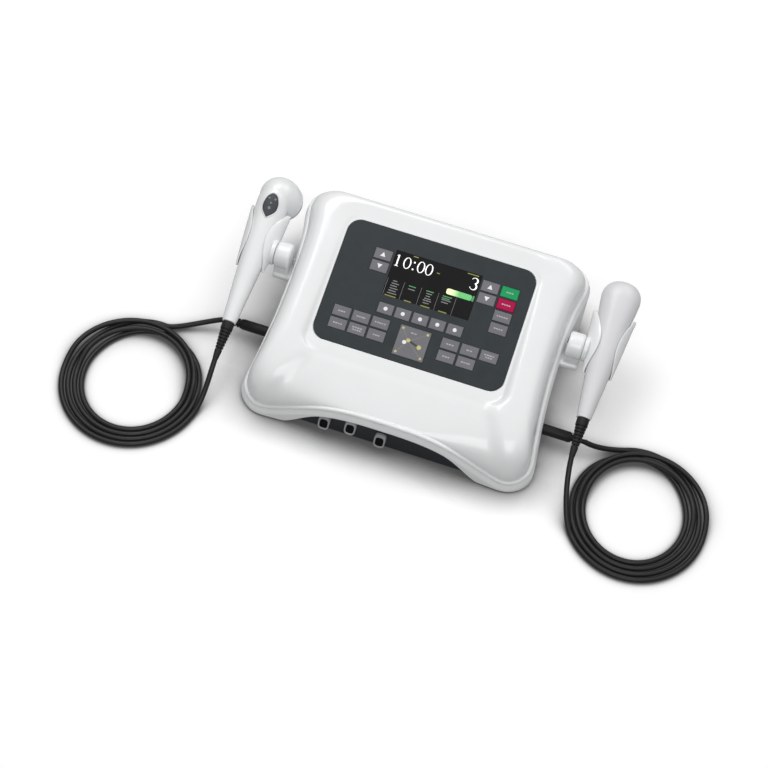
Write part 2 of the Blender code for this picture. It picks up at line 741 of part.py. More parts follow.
# the head's radii above and below its middle, along its own leaning axis: (height, radius)
HEAD_PROFILE = [
    (-17.5, 22.0), (-16.5, 23.1), (-6, 23.7), (2, 23.1), (10, 20.6), (17, 15.9), (22, 9.3), (24, 3.0),
]
HEAD_PLACE = Vector((2.5, 164.4, -6.0)) * MM  # its middle, from the tail of the handle
SECTION_SIDES = 24
APPLICATOR_ROLL = math.radians(-20)


def section_ring(y, half_w, half_h, sides=SECTION_SIDES):
    angles = [2 * math.pi * k / sides for k in range(sides)]
    return [Vector((half_w * math.cos(a), y, half_h * math.sin(a))) for a in angles]


def handset_mesh(name, sections):
    return loft(name, [section_ring(y * MM, w * MM, h * MM) for y, w, h in sections], caps=True)


def handle_radius(sections, along):
    """Larger half size of the handle at a distance along it, between the listed sections."""
    ys = [s[0] * MM for s in sections]
    ws = [max(s[1], s[2]) * MM for s in sections]
    return float(np.interp(along, ys, ws))


def wing_thickness(turn, wrap, side_t, edge_t):
    """Wall thickness round the trough: thin below, thickest at the side, thin at the wing's edge."""
    angle = abs(turn)
    if angle <= math.pi / 2:
        return 1.8 * MM + (side_t - 1.8 * MM) * math.sin(angle) ** 2
    left = (wrap - angle) / max(wrap - math.pi / 2, 1e-6)
    return edge_t + (side_t - edge_t) * max(left, 0.0) ** 0.7


def wing_shape(t, belly, near_console):
    """How far a wing wraps round the handle, and its thickness; the wing by the console is the stouter."""
    if near_console:
        return math.radians(86 + 64 * belly ** 0.8), (2.6 + 2.2 * t + 1.6 * belly) * MM
    return math.radians(86 + 52 * belly ** 0.8), (2.2 + 1.4 * t) * MM


def make_cradle(side, name, sections, shift):
    """An open trough whose two wings rise to a point at each end and hold the handle by its taper."""
    arm_along = handset_along(PIVOT_Y)
    start, steps, spread = arm_along - CRADLE_FRONT, 12, 8
    outer, inner = [], []
    for i in range(steps + 1):
        t = i / steps
        along = start + CRADLE_LENGTH * t
        radius = handle_radius(sections, along - shift) + 0.9 * MM
        belly = math.sin(math.pi * t)
        inner_row, outer_row = [], []
        for k in range(2 * spread + 1):
            share = k / spread - 1
            wrap, side_t = wing_shape(t, belly, share * side < 0)
            turn = wrap * share
            thick = wing_thickness(turn, wrap, side_t, 1.2 * MM)
            spot = Vector((math.sin(turn), 0, -math.cos(turn)))
            setback = max(math.cos(turn), 0) * (6 * MM * (1 - t) ** 3 - 20 * MM * t ** 3)
            shift_y = Vector((0, along - arm_along + setback, 0))
            inner_row.append(spot * radius + shift_y)
            outer_row.append(spot * (radius + thick) + shift_y)
        inner.append(inner_row)
        outer.append(outer_row)
    rings = [inn + out[::-1] for inn, out in zip(inner, outer)]
    trough = loft(name, rings, caps=True)
    place = mirror_point(PIVOT_POINT, side)
    cradle = finish(name, trough, CONSOLE, WHITE, place, (HANDSET_SLOPE, 0, 0))
    radius = handle_radius(sections, arm_along - shift) + 0.9 * MM
    boss_end = HANDSET_X - BARREL_OUTER_X - GAP
    length = boss_end - radius - 1.2 * MM
    boss = cutter(
        f"{name}_boss",
        cylinder_mesh(f"{name}_boss", BARREL_R, length, 32, Matrix.Rotation(math.pi / 2, 4, "Y")),
        cradle,
        (-side * (boss_end - length / 2), 0, 0),
    )
    boolean(cradle, boss, "UNION")
    return cradle


def mirror_point(point, side):
    return Vector((side * abs(point.x), point.y, point.z))


# ---------------------------------------------------------------- handsets
def make_applicator():
    """The ultrasound applicator: a tapered handle, a round head, and a drum for the treatment face."""
    place = mirror_point(handset_point(0), -1)
    frame = empty("applicator_frame", CONSOLE, place, (HANDSET_SLOPE, 0, 0))
    handle = handset_mesh("applicator_housing", APPLICATOR_SECTIONS)
    housing = finish("applicator_housing", handle, frame, WHITE)
    head = turned_mesh("applicator_head", [(h * MM, r * MM) for h, r in HEAD_PROFILE], 36)
    lean = (math.pi / 2, APPLICATOR_ROLL, 0)
    boolean(housing, cutter("applicator_head", head, frame, HEAD_PLACE, lean), "UNION")
    roll = Matrix.Rotation(APPLICATOR_ROLL, 4, "Y").to_3x3()
    down = roll @ Vector((0, 0, -1))
    face_t = 4 * MM
    face = cylinder_mesh("applicator_face", 21.4 * MM, face_t, 36)
    place = HEAD_PLACE + down * (-HEAD_PROFILE[0][0] * MM + GAP + face_t / 2)
    finish("applicator_face", face, frame, METAL, place, (0, APPLICATOR_ROLL, 0))
    make_applicator_keypad(housing, frame)
    return frame


def make_applicator_keypad(housing, frame):
    """The teardrop keypad let into the top of the head."""
    length, width, thick = 29 * MM, 17 * MM, 2.4 * MM

    def teardrop(name, grow, low, high):
        rings = []
        for z in (low, high):
            ring = []
            for k in range(20):
                a = 2 * math.pi * k / 20
                point = max(0.0, -math.sin(a)) ** 3
                half = (width / 2 + grow) * math.cos(a) * (1 - 0.75 * point)
                ring.append(Vector((half, (length / 2 + grow) * math.sin(a), z)))
            rings.append(ring)
        return loft(name, rings, caps=True)

    base = Vector((0.9, 142.5, 16.8)) * MM
    pocket = cutter("keypad_pocket", teardrop("keypad_pocket", GAP, 0, 8 * MM), frame, base)
    boolean(housing, pocket)
    pad = teardrop("applicator_keypad", 0, 0.6 * MM, thick)
    finish("applicator_keypad", pad, frame, RUBBER, base)


def make_probe():
    """The light probe: a tapered handle and a flat round head with a lens in its underside."""
    place = mirror_point(handset_point(PROBE_SHIFT), 1)
    frame = empty("probe_frame", CONSOLE, place, (HANDSET_SLOPE, 0, 0))
    housing = finish("probe_housing", handset_mesh("probe_housing", PROBE_SECTIONS), frame, PROBE_WHITE)
    lens_place = Vector((0, 143 * MM, -15.2 * MM))
    hollow = cylinder_mesh("lens_pocket", 14 * MM + GAP, 8 * MM, 28)
    pocket = cutter("lens_pocket", hollow, frame, lens_place - Vector((0, 0, 2 * MM)))
    boolean(housing, pocket)
    finish("probe_lens", cylinder_mesh("probe_lens", 14 * MM, 3 * MM, 28), frame, LENS_AMBER, lens_place)
    return frame


BOOT_LENGTH = 44 * MM


def boot_profile(length, big, small, rings=5):
    """(y, radius) pairs from the handle end outwards: a collar, ribs with grooves, then a taper."""
    profile = [(0.0, big), (-9 * MM, big), (-9 * MM, big - 1.6 * MM), (-10.5 * MM, big - 1.6 * MM)]
    y, step = -10.5 * MM, 3.0 * MM
    for k in range(rings):
        radius = big - 0.6 * MM - (big - small - 1.4 * MM) * k / rings
        groove = radius - 1.2 * MM
        profile += [(y, radius), (y - step * 0.6, radius), (y - step * 0.6, groove), (y - step, groove)]
        y -= step
    profile += [(y, small + 0.9 * MM), (-length, small)]
    return profile


def make_boot(name, frame):
    mesh = turned_mesh(name, boot_profile(BOOT_LENGTH, 7.0 * MM, CABLE_R + 0.6 * MM), 18)
    return finish(name, mesh, frame, RUBBER, (0, -GAP, 0))


# ---------------------------------------------------------------- plugs, sockets and leads
SOCKET_FACE_X = 152 * MM
PLUG_LENGTH = 66 * MM
PLUG_TRAVEL = 9 * MM


def make_socket(side, name):
    """The receptacle in the chassis wall that takes a handset's plug."""
    sides, bore, outside = 20, PLUG_R - 0.6 * MM, 6.9 * MM
    loops = []
    flange = 9.2 * MM
    for x, radius in ((-2, bore), (10, bore), (10, flange), (7.4, flange), (7.4, outside), (-8, outside)):
        angles = [2 * math.pi * k / sides for k in range(sides)]
        loops.append([Vector((side * x * MM, radius * math.cos(a), radius * math.sin(a))) for a in angles])
    mesh = loft(name, loops, caps=True)
    place = (side * (SOCKET_FACE_X - 10 * MM), SOCKET_Y[side], SOCKET_Z)
    return finish(name, mesh, CONSOLE, CONNECTOR_GREY, place)


def make_plug(side, name):
    """A round plug: a nose in the socket, a barrel with a knurled ring, and a ribbed boot for the cable."""
    nose, ring = PLUG_R - 1.0 * MM, PLUG_R + 0.6 * MM
    profile = [(-9, nose), (0.6, nose), (0.6, ring), (12, ring), (12, PLUG_R), (46, PLUG_R)]
    points = [(x * MM, r) for x, r in profile]
    x, step = 46 * MM, 3.8 * MM
    for k in range(4):
        radius = PLUG_R - 0.5 * MM - 0.45 * MM * k
        groove = radius - 0.9 * MM
        points += [(x, radius), (x + step * 0.6, radius), (x + step * 0.6, groove), (x + step, groove)]
        x += step
    points.append((PLUG_LENGTH, CABLE_R + 0.4 * MM))
    loops = []
    for along, radius in points:
        angles = [2 * math.pi * k / 18 for k in range(18)]
        loops.append([Vector((side * along, radius * math.cos(a), radius * math.sin(a))) for a in angles])
    mesh = loft(name, loops, caps=True)
    place = (side * (SOCKET_FACE_X + GAP), SOCKET_Y[side], SOCKET_Z)
    return finish(name, mesh, CONSOLE, RUBBER, place)


# each coil's edges are ovals about its centre: (centre x, centre y, half width, half length)
COILS = {
    -1: {"y": -130, "inner": (-3.2, 0, 57.2, 61.6), "outer": (-1.2, -1.2, 83.5, 85.4), "turns": (105, 195)},
    1: {"y": -97, "inner": (-0.3, 1.6, 54.9, 60.1), "outer": (1.1, -0.3, 81.2, 84.0), "turns": (135, 218)},
}
CROSS_START, CROSS_END = 160, 20  # the strands change lanes between these angles, degrees
CROSS_LIFT = 6.0 * MM
LANES = (2 / 3, 0, 1 / 3, 1)  # where each turn lies, from the inner edge (0) to the outer (1)


def lane(angle, start):
    """Where the strand lies across the coil and whether it rides over others, at an unwound angle."""
    share = LANES[0] + 0.38 * (1 - smoothstep((start - angle) / (start - CROSS_END)))
    raised = 0.0
    for turn, (before, after) in enumerate(zip(LANES, LANES[1:]), 1):
        here = angle + 360 * turn
        if here < CROSS_START:
            share = before + (after - before) * smoothstep((CROSS_START - here) / (CROSS_START - CROSS_END))
        if turn > 1:
            rise = smoothstep((CROSS_START + 30 - here) / 28)
            fall = smoothstep((CROSS_END - here) / 28)
            raised = max(raised, rise * (1 - fall))
    return share, raised


def coil_points(side, step=15):
    """The coil: nearly four turns laid flat on the table, each crossing to its own lane at the back."""
    coil = COILS[side]
    start, end = coil["turns"]
    spots = []
    for angle in range(start, end - 360 * len(LANES) - 1, -step):
        share, raised = lane(angle, start)
        turn = math.radians(angle)
        middle_x, middle_y, half_x, half_y = (
            i + (o - i) * share for i, o in zip(coil["inner"], coil["outer"])
        )
        margin = CABLE_R / MM * (1 - 2 * share)
        x = side * (COIL_X + (middle_x + (half_x + margin) * math.cos(turn)) * MM)
        y = (coil["y"] + middle_y + (half_y + margin) * math.sin(turn)) * MM
        spots.append(Vector((x, y, CABLE_R + CROSS_LIFT * raised)))
    return spots


def lead_curve(name, points):
    data = bpy.data.curves.new(name, "CURVE")
    data.dimensions = "3D"
    data.bevel_depth = CABLE_R
    data.bevel_resolution = 2
    data.use_fill_caps = True
    data.render_resolution_u = 0
    spline = data.splines.new("POLY")
    spline.points.add(len(points) - 1)
    for slot, point in zip(spline.points, points):
        slot.co = (*point, 1.0)
    obj = bpy.data.objects.new(name, data)
    PARTS.objects.link(obj)
    obj.parent = CONSOLE
    data.materials.append(CABLE_BLACK)
    return obj


def bezier(a, b, c, d, steps):
    """Points of a cubic Bezier after its first point."""
    found = []
    for k in range(1, steps + 1):
        t = k / steps
        found.append(a * (1 - t) ** 3 + b * 3 * t * (1 - t) ** 2 + c * 3 * t * t * (1 - t) + d * t ** 3)
    return found


def make_lead(side, name, tail_along):
    """A lead: a short end by the plug, the coil, and a rising end that stops short of the boot."""
    coil = coil_points(side)
    plug_x = SOCKET_FACE_X + PLUG_LENGTH + PLUG_TRAVEL + 3 * MM
    plug_end = Vector((side * plug_x, SOCKET_Y[side], SOCKET_Z - 2 * MM))
    arrive = (coil[1] - coil[0]).normalized()
    first_bend = plug_end + Vector((side * 12 * MM, 0, -13 * MM))
    first = [plug_end, *bezier(plug_end, first_bend, coil[0] - arrive * 11 * MM, coil[0], 6)]
    boot_end = mirror_point(handset_point(tail_along - BOOT_LENGTH - 5 * MM), side)
    leave = (coil[-1] - coil[-2]).normalized()
    last = bezier(coil[-1], coil[-1] + leave * 24 * MM, boot_end - AXIS * 16 * MM, boot_end, 7)
    return lead_curve(name, first + coil[1:] + last)


# ---------------------------------------------------------------- assembly
def main():
    make_top_shell()
    make_lower_shell()
    make_chassis()
    make_front_panel()
    for name, x, z in JACK_PLACES:
        make_jack(name, x, z)
    make_feet()
    make_overlay()
    make_keys()
    make_screen()
    make_main_board()
    make_power_parts()
    make_arm(-1, "arm_left")
    make_arm(1, "arm_right")
    make_cradle(-1, "cradle_left", APPLICATOR_SECTIONS, 0.0)
    make_cradle(1, "cradle_right", PROBE_SECTIONS, PROBE_SHIFT)
    make_boot("applicator_strain_relief", make_applicator())
    make_boot("probe_strain_relief", make_probe())
    make_socket(-1, "socket_left")
    make_socket(1, "socket_right")
    make_plug(-1, "plug_left")
    make_plug(1, "plug_right")
    make_lead(-1, "lead_left", 0.0)
    make_lead(1, "lead_right", PROBE_SHIFT)


main()
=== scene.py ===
"""Looks of a tabletop ultrasound and light therapy console, its two cradled handsets and their leads.

Shapes are worked out in millimetres in the console's own frame, which sits CONSOLE_Y behind the origin of
the row frame, and to_row() takes them to metres in the row frame.
"""

import json
import math

import bmesh
import bpy
import numpy as np
from mathutils import Matrix, Vector


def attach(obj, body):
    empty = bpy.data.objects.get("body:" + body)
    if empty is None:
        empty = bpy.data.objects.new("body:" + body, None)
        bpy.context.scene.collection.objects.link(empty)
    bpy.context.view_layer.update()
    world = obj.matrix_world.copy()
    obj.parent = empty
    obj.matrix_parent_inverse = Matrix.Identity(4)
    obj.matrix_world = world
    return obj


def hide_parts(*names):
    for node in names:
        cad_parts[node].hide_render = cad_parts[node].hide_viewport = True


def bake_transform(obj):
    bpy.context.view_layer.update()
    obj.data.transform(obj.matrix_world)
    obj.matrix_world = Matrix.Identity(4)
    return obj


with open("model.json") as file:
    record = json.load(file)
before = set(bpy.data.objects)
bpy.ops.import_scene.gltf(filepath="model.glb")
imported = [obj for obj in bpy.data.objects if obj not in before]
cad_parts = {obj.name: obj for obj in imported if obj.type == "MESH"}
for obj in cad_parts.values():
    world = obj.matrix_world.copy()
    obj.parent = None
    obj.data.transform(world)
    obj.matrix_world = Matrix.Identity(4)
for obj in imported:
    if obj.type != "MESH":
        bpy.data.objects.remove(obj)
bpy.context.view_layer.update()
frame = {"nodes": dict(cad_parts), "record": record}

# ---- driving dimensions, millimetres
MM = 0.001
PIVOT_Y, PIVOT_Z = 45.0, 77.25


def joint_place(name):
    """A joint's point in the row frame, metres."""
    found = [joint for joint in frame["record"]["behaviour"]["joints"] if joint["name"] == name]
    return found[0]["pos_m"]


CONSOLE_Y = joint_place("left_cradle_tilt")[1] / MM - PIVOT_Y

PANEL_TILT = math.radians(17.0)
PANEL_W, PANEL_H, PANEL_R = 223.0, 148.0, 16.0
PANEL_Y, PANEL_Z = 25.0, 96.0
RECESS_DEPTH = 1.8
GAP = 0.4
KEY_TOP = 0.7

RIM_HALF_W, WAIST_Y = 158.5, 20.0
RIM_FRONT_EAR, RIM_BACK_EAR = 10.0, 11.0
RIM_FRONT_Y, RIM_BACK_Y = -113.0, 137.0
RIM_FRONT_BOW = 5.0
RIM_CORNER_FRONT, RIM_CORNER_BACK = 30.0, 32.0
RIM_Z0, RIM_SLOPE = 21.0, 0.316
RIM_FRONT_LIFT, RIM_SIDE_LIFT = 38.0, 4.0
LEG_X, FRONT_ARCH_X, BACK_ARCH_X = 114.0, 68.0, 50.0
SKIRT_FLARE, SKIRT_H, WALL = 4.5, 12.0, 3.0
LEG_END_Z = 1.6
BEAD_R, BEAD_OUT = 2.5, -0.3

HANDSET_X, HANDSET_Y, HANDSET_Z = 206.8, -47.0, 50.0
HANDSET_SLOPE = math.radians(16.5)
PROBE_SHIFT = 17.0
PIVOT_ALONG = (PIVOT_Y - HANDSET_Y) / math.cos(HANDSET_SLOPE)
BARREL_R, BARREL_INNER_X, BARREL_OUTER_X = 15.0, 165.0, 183.0
ARM_W, ARM_T, ARM_Z, ARM_INNER_X = 31.0, 8.0, 53.0, 148.5
CRADLE_LENGTH, CRADLE_FRONT = 76.0, 28.0
APPLICATOR_ROLL = math.radians(-20)
HEAD_PLACE = np.array((2.5, 164.4, -6.0))  # the middle of the applicator's head
HEAD_BOTTOM = -17.5
KEYPAD_PLACE = np.array((0.9, 142.5))
KEYPAD_LENGTH, KEYPAD_WIDTH = 29.0, 17.0
LENS_ALONG = 143.0

BOOT_LENGTH, BOOT_R = 44.0, 7.0
CABLE_R, JACKET_R = 2.8, 3.1
COIL_X = 292.0
SOCKET_Y = {-1: -23.5, 1: -36.5}
SOCKET_Z, SOCKET_FACE_X = 18.0, 152.0
PLUG_R, PLUG_LENGTH = 6.2, 66.0
RIB_PITCH, BOOT_RIBS, PLUG_RIBS = 3.8, 6, 4
JACK_FACE_Y, JACK_LIP_Y, JACK_R = -111.2, -124.6, 6.6
JACK_SLANT = math.radians(33)
JACKS = (
    ("front_jack_left", -66.6, 25.0),
    ("front_jack_middle", -36.0, 31.0),
    ("front_jack_right", -1.0, 23.5),
)

FRONT_STEPS, CORNER_STEPS, SIDE_STEPS, BACK_STEPS = 34, 16, 44, 22
HANDLE_SIDES, LEAD_SIDES, KEYPAD_POINTS = 64, 16, 60
BLOCK_EDGE_R = 2.4

# handle sizes along each handset, from the tail: (distance, half width, half height)
PROBE_SECTIONS = (
    (0, 8.2, 8.2), (4, 8.7, 8.7), (25, 10.9, 10.8), (55, 14.0, 13.6), (90, 17.0, 15.8),
    (120, 19.4, 16.6), (138, 21.7, 16.8), (149, 22.4, 16.4), (157, 20.2, 14.6), (163, 15.4, 11.4),
    (166.2, 8.6, 6.8), (167.2, 0.1, 0.1),
)
APPLICATOR_SECTIONS = (
    (0, 8.0, 8.0), (4, 8.5, 8.5), (25, 10.2, 10.1), (60, 13.0, 12.8), (95, 15.6, 15.2),
    (125, 17.6, 17.2), (145, 19.0, 18.6), (158, 18.6, 18.6), (168, 15.4, 16.0), (176, 8.0, 9.0),
)
# the applicator's head, turned about its own leaning axis: (height, radius)
HEAD_PROFILE = (
    (-17.5, 22.0), (-16.8, 23.0), (-6, 23.7), (0, 23.4), (5, 22.3), (10, 20.6), (14, 18.3), (18, 14.9),
    (21, 10.9), (23, 6.5), (23.9, 2.2),
)


# ---- frames
def to_row(points):
    """Console-frame millimetres to row-frame metres."""
    return (np.asarray(points, float) + (0.0, CONSOLE_Y, 0.0)) * MM


def turn_x(angle):
    return np.array(Matrix.Rotation(angle, 3, "X"))


def turn_y(angle):
    return np.array(Matrix.Rotation(angle, 3, "Y"))


PANEL_TURN = turn_x(PANEL_TILT)
PANEL_UP = PANEL_TURN[:, 2]


def on_panel(points):
    """Panel coordinates (right, up the slope, above the surface) to the console frame."""
    return np.asarray(points, float) @ PANEL_TURN.T + (0.0, PANEL_Y, PANEL_Z)


def on_handset(points, side, shift=0.0):
    """Handset coordinates (right, along the handle, above it) to the console frame."""
    turn = turn_x(HANDSET_SLOPE)
    start = np.array([side * HANDSET_X, HANDSET_Y, HANDSET_Z]) + turn[:, 1] * shift
    return np.asarray(points, float) @ turn.T + start


# ---- materials
def noise(tree, coordinates, scale, detail):
    node = tree.nodes.new("ShaderNodeTexNoise")
    node.inputs["Scale"].default_value = scale
    node.inputs["Detail"].default_value = detail
    tree.links.new(coordinates, node.inputs["Vector"])
    return node.outputs["Fac"]


def remap(tree, value, low, high, start=0.35, end=0.65):
    node = tree.nodes.new("ShaderNodeMapRange")
    for socket, number in (("From Min", start), ("From Max", end), ("To Min", low), ("To Max", high)):
        node.inputs[socket].default_value = number
    tree.links.new(value, node.inputs["Value"])
    return node.outputs["Result"]


def mix_colours(tree, factor, first, second):
    node = tree.nodes.new("ShaderNodeMix")
    node.data_type = "RGBA"
    if isinstance(factor, float):
        node.inputs["Factor"].default_value = factor
    else:
        tree.links.new(factor, node.inputs["Factor"])
    for slot, colour in ((6, first), (7, second)):
        if isinstance(colour, tuple):
            node.inputs[slot].default_value = (*colour, 1.0)
        else:
            tree.links.new(colour, node.inputs[slot])
    return node.outputs[2]


def tint(colour, share):
    return tuple(channel * share for channel in colour)


RELIEF_DEPTH = 0.0002  # metres
WORN_SHARE = 2.0  # how much paler a worn edge is


def surface(
    name, colour, rough, mottle=30.0, spread=0.03, grain=2500.0, relief=0.03,
    wear=0.0, metal=0.0, coat=0.0, specular=0.5,
):
    """A procedural finish: slow colour and roughness drift, fine surface relief, and paler worn edges."""
    made = bpy.data.materials.new(name)
    made.use_nodes = True
    tree = made.node_tree
    shader = tree.nodes["Principled BSDF"]
    place = tree.nodes.new("ShaderNodeTexCoord").outputs["Object"]
    drift = noise(tree, place, mottle, 4.0)
    low, high = tint(colour, 1 - spread), tint(colour, 1 + spread)
    base = mix_colours(tree, remap(tree, drift, 0.0, 1.0), low, high)
    if wear:
        edges = tree.nodes.new("ShaderNodeNewGeometry").outputs["Pointiness"]
        worn = remap(tree, edges, 0.0, wear, 0.52, 0.62)
        base = mix_colours(tree, worn, base, tint(colour, WORN_SHARE))
    tree.links.new(base, shader.inputs["Base Color"])
    fine = noise(tree, place, grain, 2.0)
    roughness = remap(tree, drift, rough * 0.85, rough * 1.15)
    tree.links.new(roughness, shader.inputs["Roughness"])
    bump = tree.nodes.new("ShaderNodeBump")
    bump.inputs["Strength"].default_value = relief
    bump.inputs["Distance"].default_value = RELIEF_DEPTH
    tree.links.new(fine, bump.inputs["Height"])
    tree.links.new(bump.outputs["Normal"], shader.inputs["Normal"])
    settings = {
        "Metallic": metal, "Coat Weight": coat, "Coat Roughness": 0.08, "Specular IOR Level": specular,
    }
    for socket, number in settings.items():
        shader.inputs[socket].default_value = number
    return made


def glowing(name, colour, strength):
    """A lit display mark: its colour and brightness waver a little, like pixels seen through glass."""
    made = surface(name, colour, 0.3, mottle=600.0, spread=0.08)
    shader = made.node_tree.nodes["Principled BSDF"]
    base = shader.inputs["Base Color"].links[0].from_socket
    made.node_tree.links.new(base, shader.inputs["Emission Color"])
    shader.inputs["Emission Strength"].default_value = strength
    return made


WHITE = surface(
    "gloss_white", (0.85, 0.862, 0.866), 0.20, spread=0.006, grain=900.0, relief=0.012, coat=0.2
)
PROBE = surface("satin_probe", (0.72, 0.72, 0.735), 0.34, spread=0.01, grain=1800.0, relief=0.02, coat=0.1)
CHARCOAL = surface("charcoal", (0.016, 0.019, 0.023), 0.5, relief=0.15, spread=0.12, wear=0.3, specular=0.2)
FILM = surface(
    "panel_film", (0.038, 0.045, 0.049), 0.42, mottle=60.0, spread=0.05, grain=4500.0, specular=0.1
)
KEY_GREY = surface("key_film_grey", (0.182, 0.18, 0.196), 0.45, spread=0.04, grain=4500.0, specular=0.1)
KEY_GREEN = surface("key_film_green", (0.018, 0.34, 0.115), 0.45, spread=0.05, grain=4500.0, specular=0.1)
KEY_RED = surface("key_film_red", (0.42, 0.006, 0.07), 0.45, spread=0.05, grain=4500.0, specular=0.1)
GLASS = surface("display_glass", (0.011, 0.0105, 0.011), 0.16, spread=0.1, relief=0.0, specular=0.12)
CONNECTOR = surface("connector_grey", (0.30, 0.31, 0.32), 0.38, spread=0.04, relief=0.08, wear=0.25)
SOCKET_SILVER = surface("socket_silver", (0.60, 0.61, 0.62), 0.28, spread=0.05, relief=0.05, metal=0.85)
RUBBER = surface(
    "moulded_rubber", (0.014, 0.014, 0.015), 0.5, relief=0.25, spread=0.15, wear=0.2, specular=0.25
)
# painted shade: a near-black filler that stands in for the shade deep inside a jack's opening
PAINTED_BORE_SHADE = surface("painted_bore_shade", (0.004, 0.004, 0.004), 0.6, relief=0.1, spread=0.2, specular=0.1)
KEYPAD = surface("keypad_slate", (0.068, 0.074, 0.082), 0.45, spread=0.08, relief=0.1, specular=0.2)
CABLE = surface(
    "cable_jacket", (0.015, 0.015, 0.016), 0.38, mottle=18.0, spread=0.12, relief=0.12, specular=0.3
)
LENS = surface("tinted_lens", (0.16, 0.012, 0.014), 0.08, spread=0.1, relief=0.0, coat=0.6)
BOARD = surface("solder_mask", (0.015, 0.12, 0.05), 0.4, mottle=220.0, spread=0.35, relief=0.1)
CAGE = surface("folded_cage", (0.55, 0.56, 0.58), 0.35, mottle=12.0, spread=0.05, metal=1.0, relief=0.1)
MARK_GREY = surface("keypad_grey", (0.22, 0.225, 0.235), 0.45, mottle=400.0, spread=0.1, specular=0.2)
INK_WHITE = surface("ink_white", (0.82, 0.83, 0.84), 0.45, mottle=400.0, spread=0.05)
INK_PALE = surface("ink_pale", (0.42, 0.42, 0.44), 0.45, mottle=400.0, spread=0.12)
INK_YELLOW = surface("ink_yellow", (0.55, 0.50, 0.20), 0.45, mottle=400.0, spread=0.1)
INK_LINE = surface("ink_line", (0.30, 0.28, 0.15), 0.45, mottle=400.0, spread=0.1)
INK_DARK = surface("ink_dark", (0.03, 0.03, 0.035), 0.45, mottle=400.0, spread=0.1)
LIT_WHITE = glowing("lit_white", (0.80, 0.80, 0.79), 0.75)
LIT_GREEN = glowing("lit_green", (0.06, 0.24, 0.09), 0.4)
LIT_YELLOW = glowing("lit_yellow", (0.20, 0.20, 0.035), 0.4)
LIT_DIM = glowing("lit_dim", (0.16, 0.16, 0.16), 0.4)
LIT_TEXT = glowing("lit_text", (0.15, 0.15, 0.15), 0.4)


def metal_rings(centre):
    """A turned metal face: fine rings about its centre."""
    made = surface("turned_face", (0.72, 0.73, 0.75), 0.24, metal=1.0, spread=0.03)
    tree = made.node_tree
    place = tree.nodes.new("ShaderNodeTexCoord").outputs["Object"]
    shift = tree.nodes.new("ShaderNodeVectorMath")
    shift.operation = "SUBTRACT"
    shift.inputs[1].default_value = centre
    tree.links.new(place, shift.inputs[0])
    wave = tree.nodes.new("ShaderNodeTexWave")
    wave.wave_type = "RINGS"
    wave.rings_direction = "SPHERICAL"
    wave.inputs["Scale"].default_value = 420.0
    tree.links.new(shift.outputs["Vector"], wave.inputs["Vector"])
    bump = [node for node in tree.nodes if node.type == "BUMP"][0]
    bump.inputs["Strength"].default_value = 0.25
    tree.links.new(wave.outputs["Fac"], bump.inputs["Height"])
    return made


def bar_glow():
    """The level bar: pale yellow at its left end, green along the rest."""
    made = glowing("lit_bar", (0.10, 0.40, 0.13), 0.6)
    tree = made.node_tree
    shader = tree.nodes["Principled BSDF"]
    place = tree.nodes.new("ShaderNodeSeparateXYZ")
    tree.links.new(tree.nodes.new("ShaderNodeTexCoord").outputs["Object"], place.inputs[0])
    along = remap(tree, place.outputs["X"], 0.0, 1.0, 0.023, 0.033)
    plain = shader.inputs["Emission Color"].links[0].from_socket
    blended = mix_colours(tree, along, (0.72, 0.78, 0.42), plain)
    for socket in ("Base Color", "Emission Color"):
        tree.links.new(blended, shader.inputs[socket])
    return made


# ---- mesh helpers
def circle(count):
    """Evenly spaced angles round a full turn."""
    return np.linspace(0, 2 * math.pi, count, endpoint=False)


def oval(y, half_width, half_height, angles):
    """A closed ring across the Y axis."""
    flat = np.full(len(angles), y)
    return np.stack([half_width * np.cos(angles), flat, half_height * np.sin(angles)], axis=1)


def at_level(outline, level):
    """Flat (u, v) points given one height."""
    return np.column_stack([outline, np.full(len(outline), float(level))])


def linked(name, data):
    """A new object in the scene."""
    obj = bpy.data.objects.new(name, data)
    bpy.context.scene.collection.objects.link(obj)
    return obj


def skin(rows, wrap=False, caps=False):
    """Points and faces of a grid of rows. wrap joins the last row to the first; caps closes both ends."""
    rows = np.asarray(rows, float)
    count, width = rows.shape[:2]
    faces = []
    for i in range(count if wrap else count - 1):
        j_next = (i + 1) % count
        for k in range(width):
            m = (k + 1) % width
            faces.append((i * width + k, i * width + m, j_next * width + m, j_next * width + k))
    if caps:
        faces.append(tuple(range(width))[::-1])
        faces.append(tuple((count - 1) * width + k for k in range(width)))
    return rows.reshape(-1, 3), faces


def joined(parts):
    """Several (points, faces) pairs as one."""
    points, faces, offset = [], [], 0
    for part_points, part_faces in parts:
        points.append(np.asarray(part_points, float))
        faces += [tuple(index + offset for index in face) for face in part_faces]
        offset += len(part_points)
    return np.concatenate(points), faces


def piece(name, shape, finish, body=None, replaces=(), sharp=35.0):
    """One named object from (points, faces) in the console frame, riding on a body."""
    points, faces = shape
    mesh = bpy.data.meshes.new(name)
    mesh.from_pydata(to_row(points).tolist(), [], faces)
    bm = bmesh.new()
    bm.from_mesh(mesh)
    bmesh.ops.recalc_face_normals(bm, faces=bm.faces)
    bm.to_mesh(mesh)
    bm.free()
    mesh.materials.append(finish)
    mesh.shade_smooth()
    mesh.set_sharp_from_angle(angle=math.radians(sharp))
    obj = linked(name, mesh)
    if body:
        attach(obj, body)
    if replaces:
        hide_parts(*replaces)
    return obj


def bake(obj):
    """Applies an object's modifiers to its mesh."""
    evaluated = obj.evaluated_get(bpy.context.evaluated_depsgraph_get())
    mesh = bpy.data.meshes.new_from_object(evaluated)
    obj.modifiers.clear()
    obj.data = mesh
    return obj


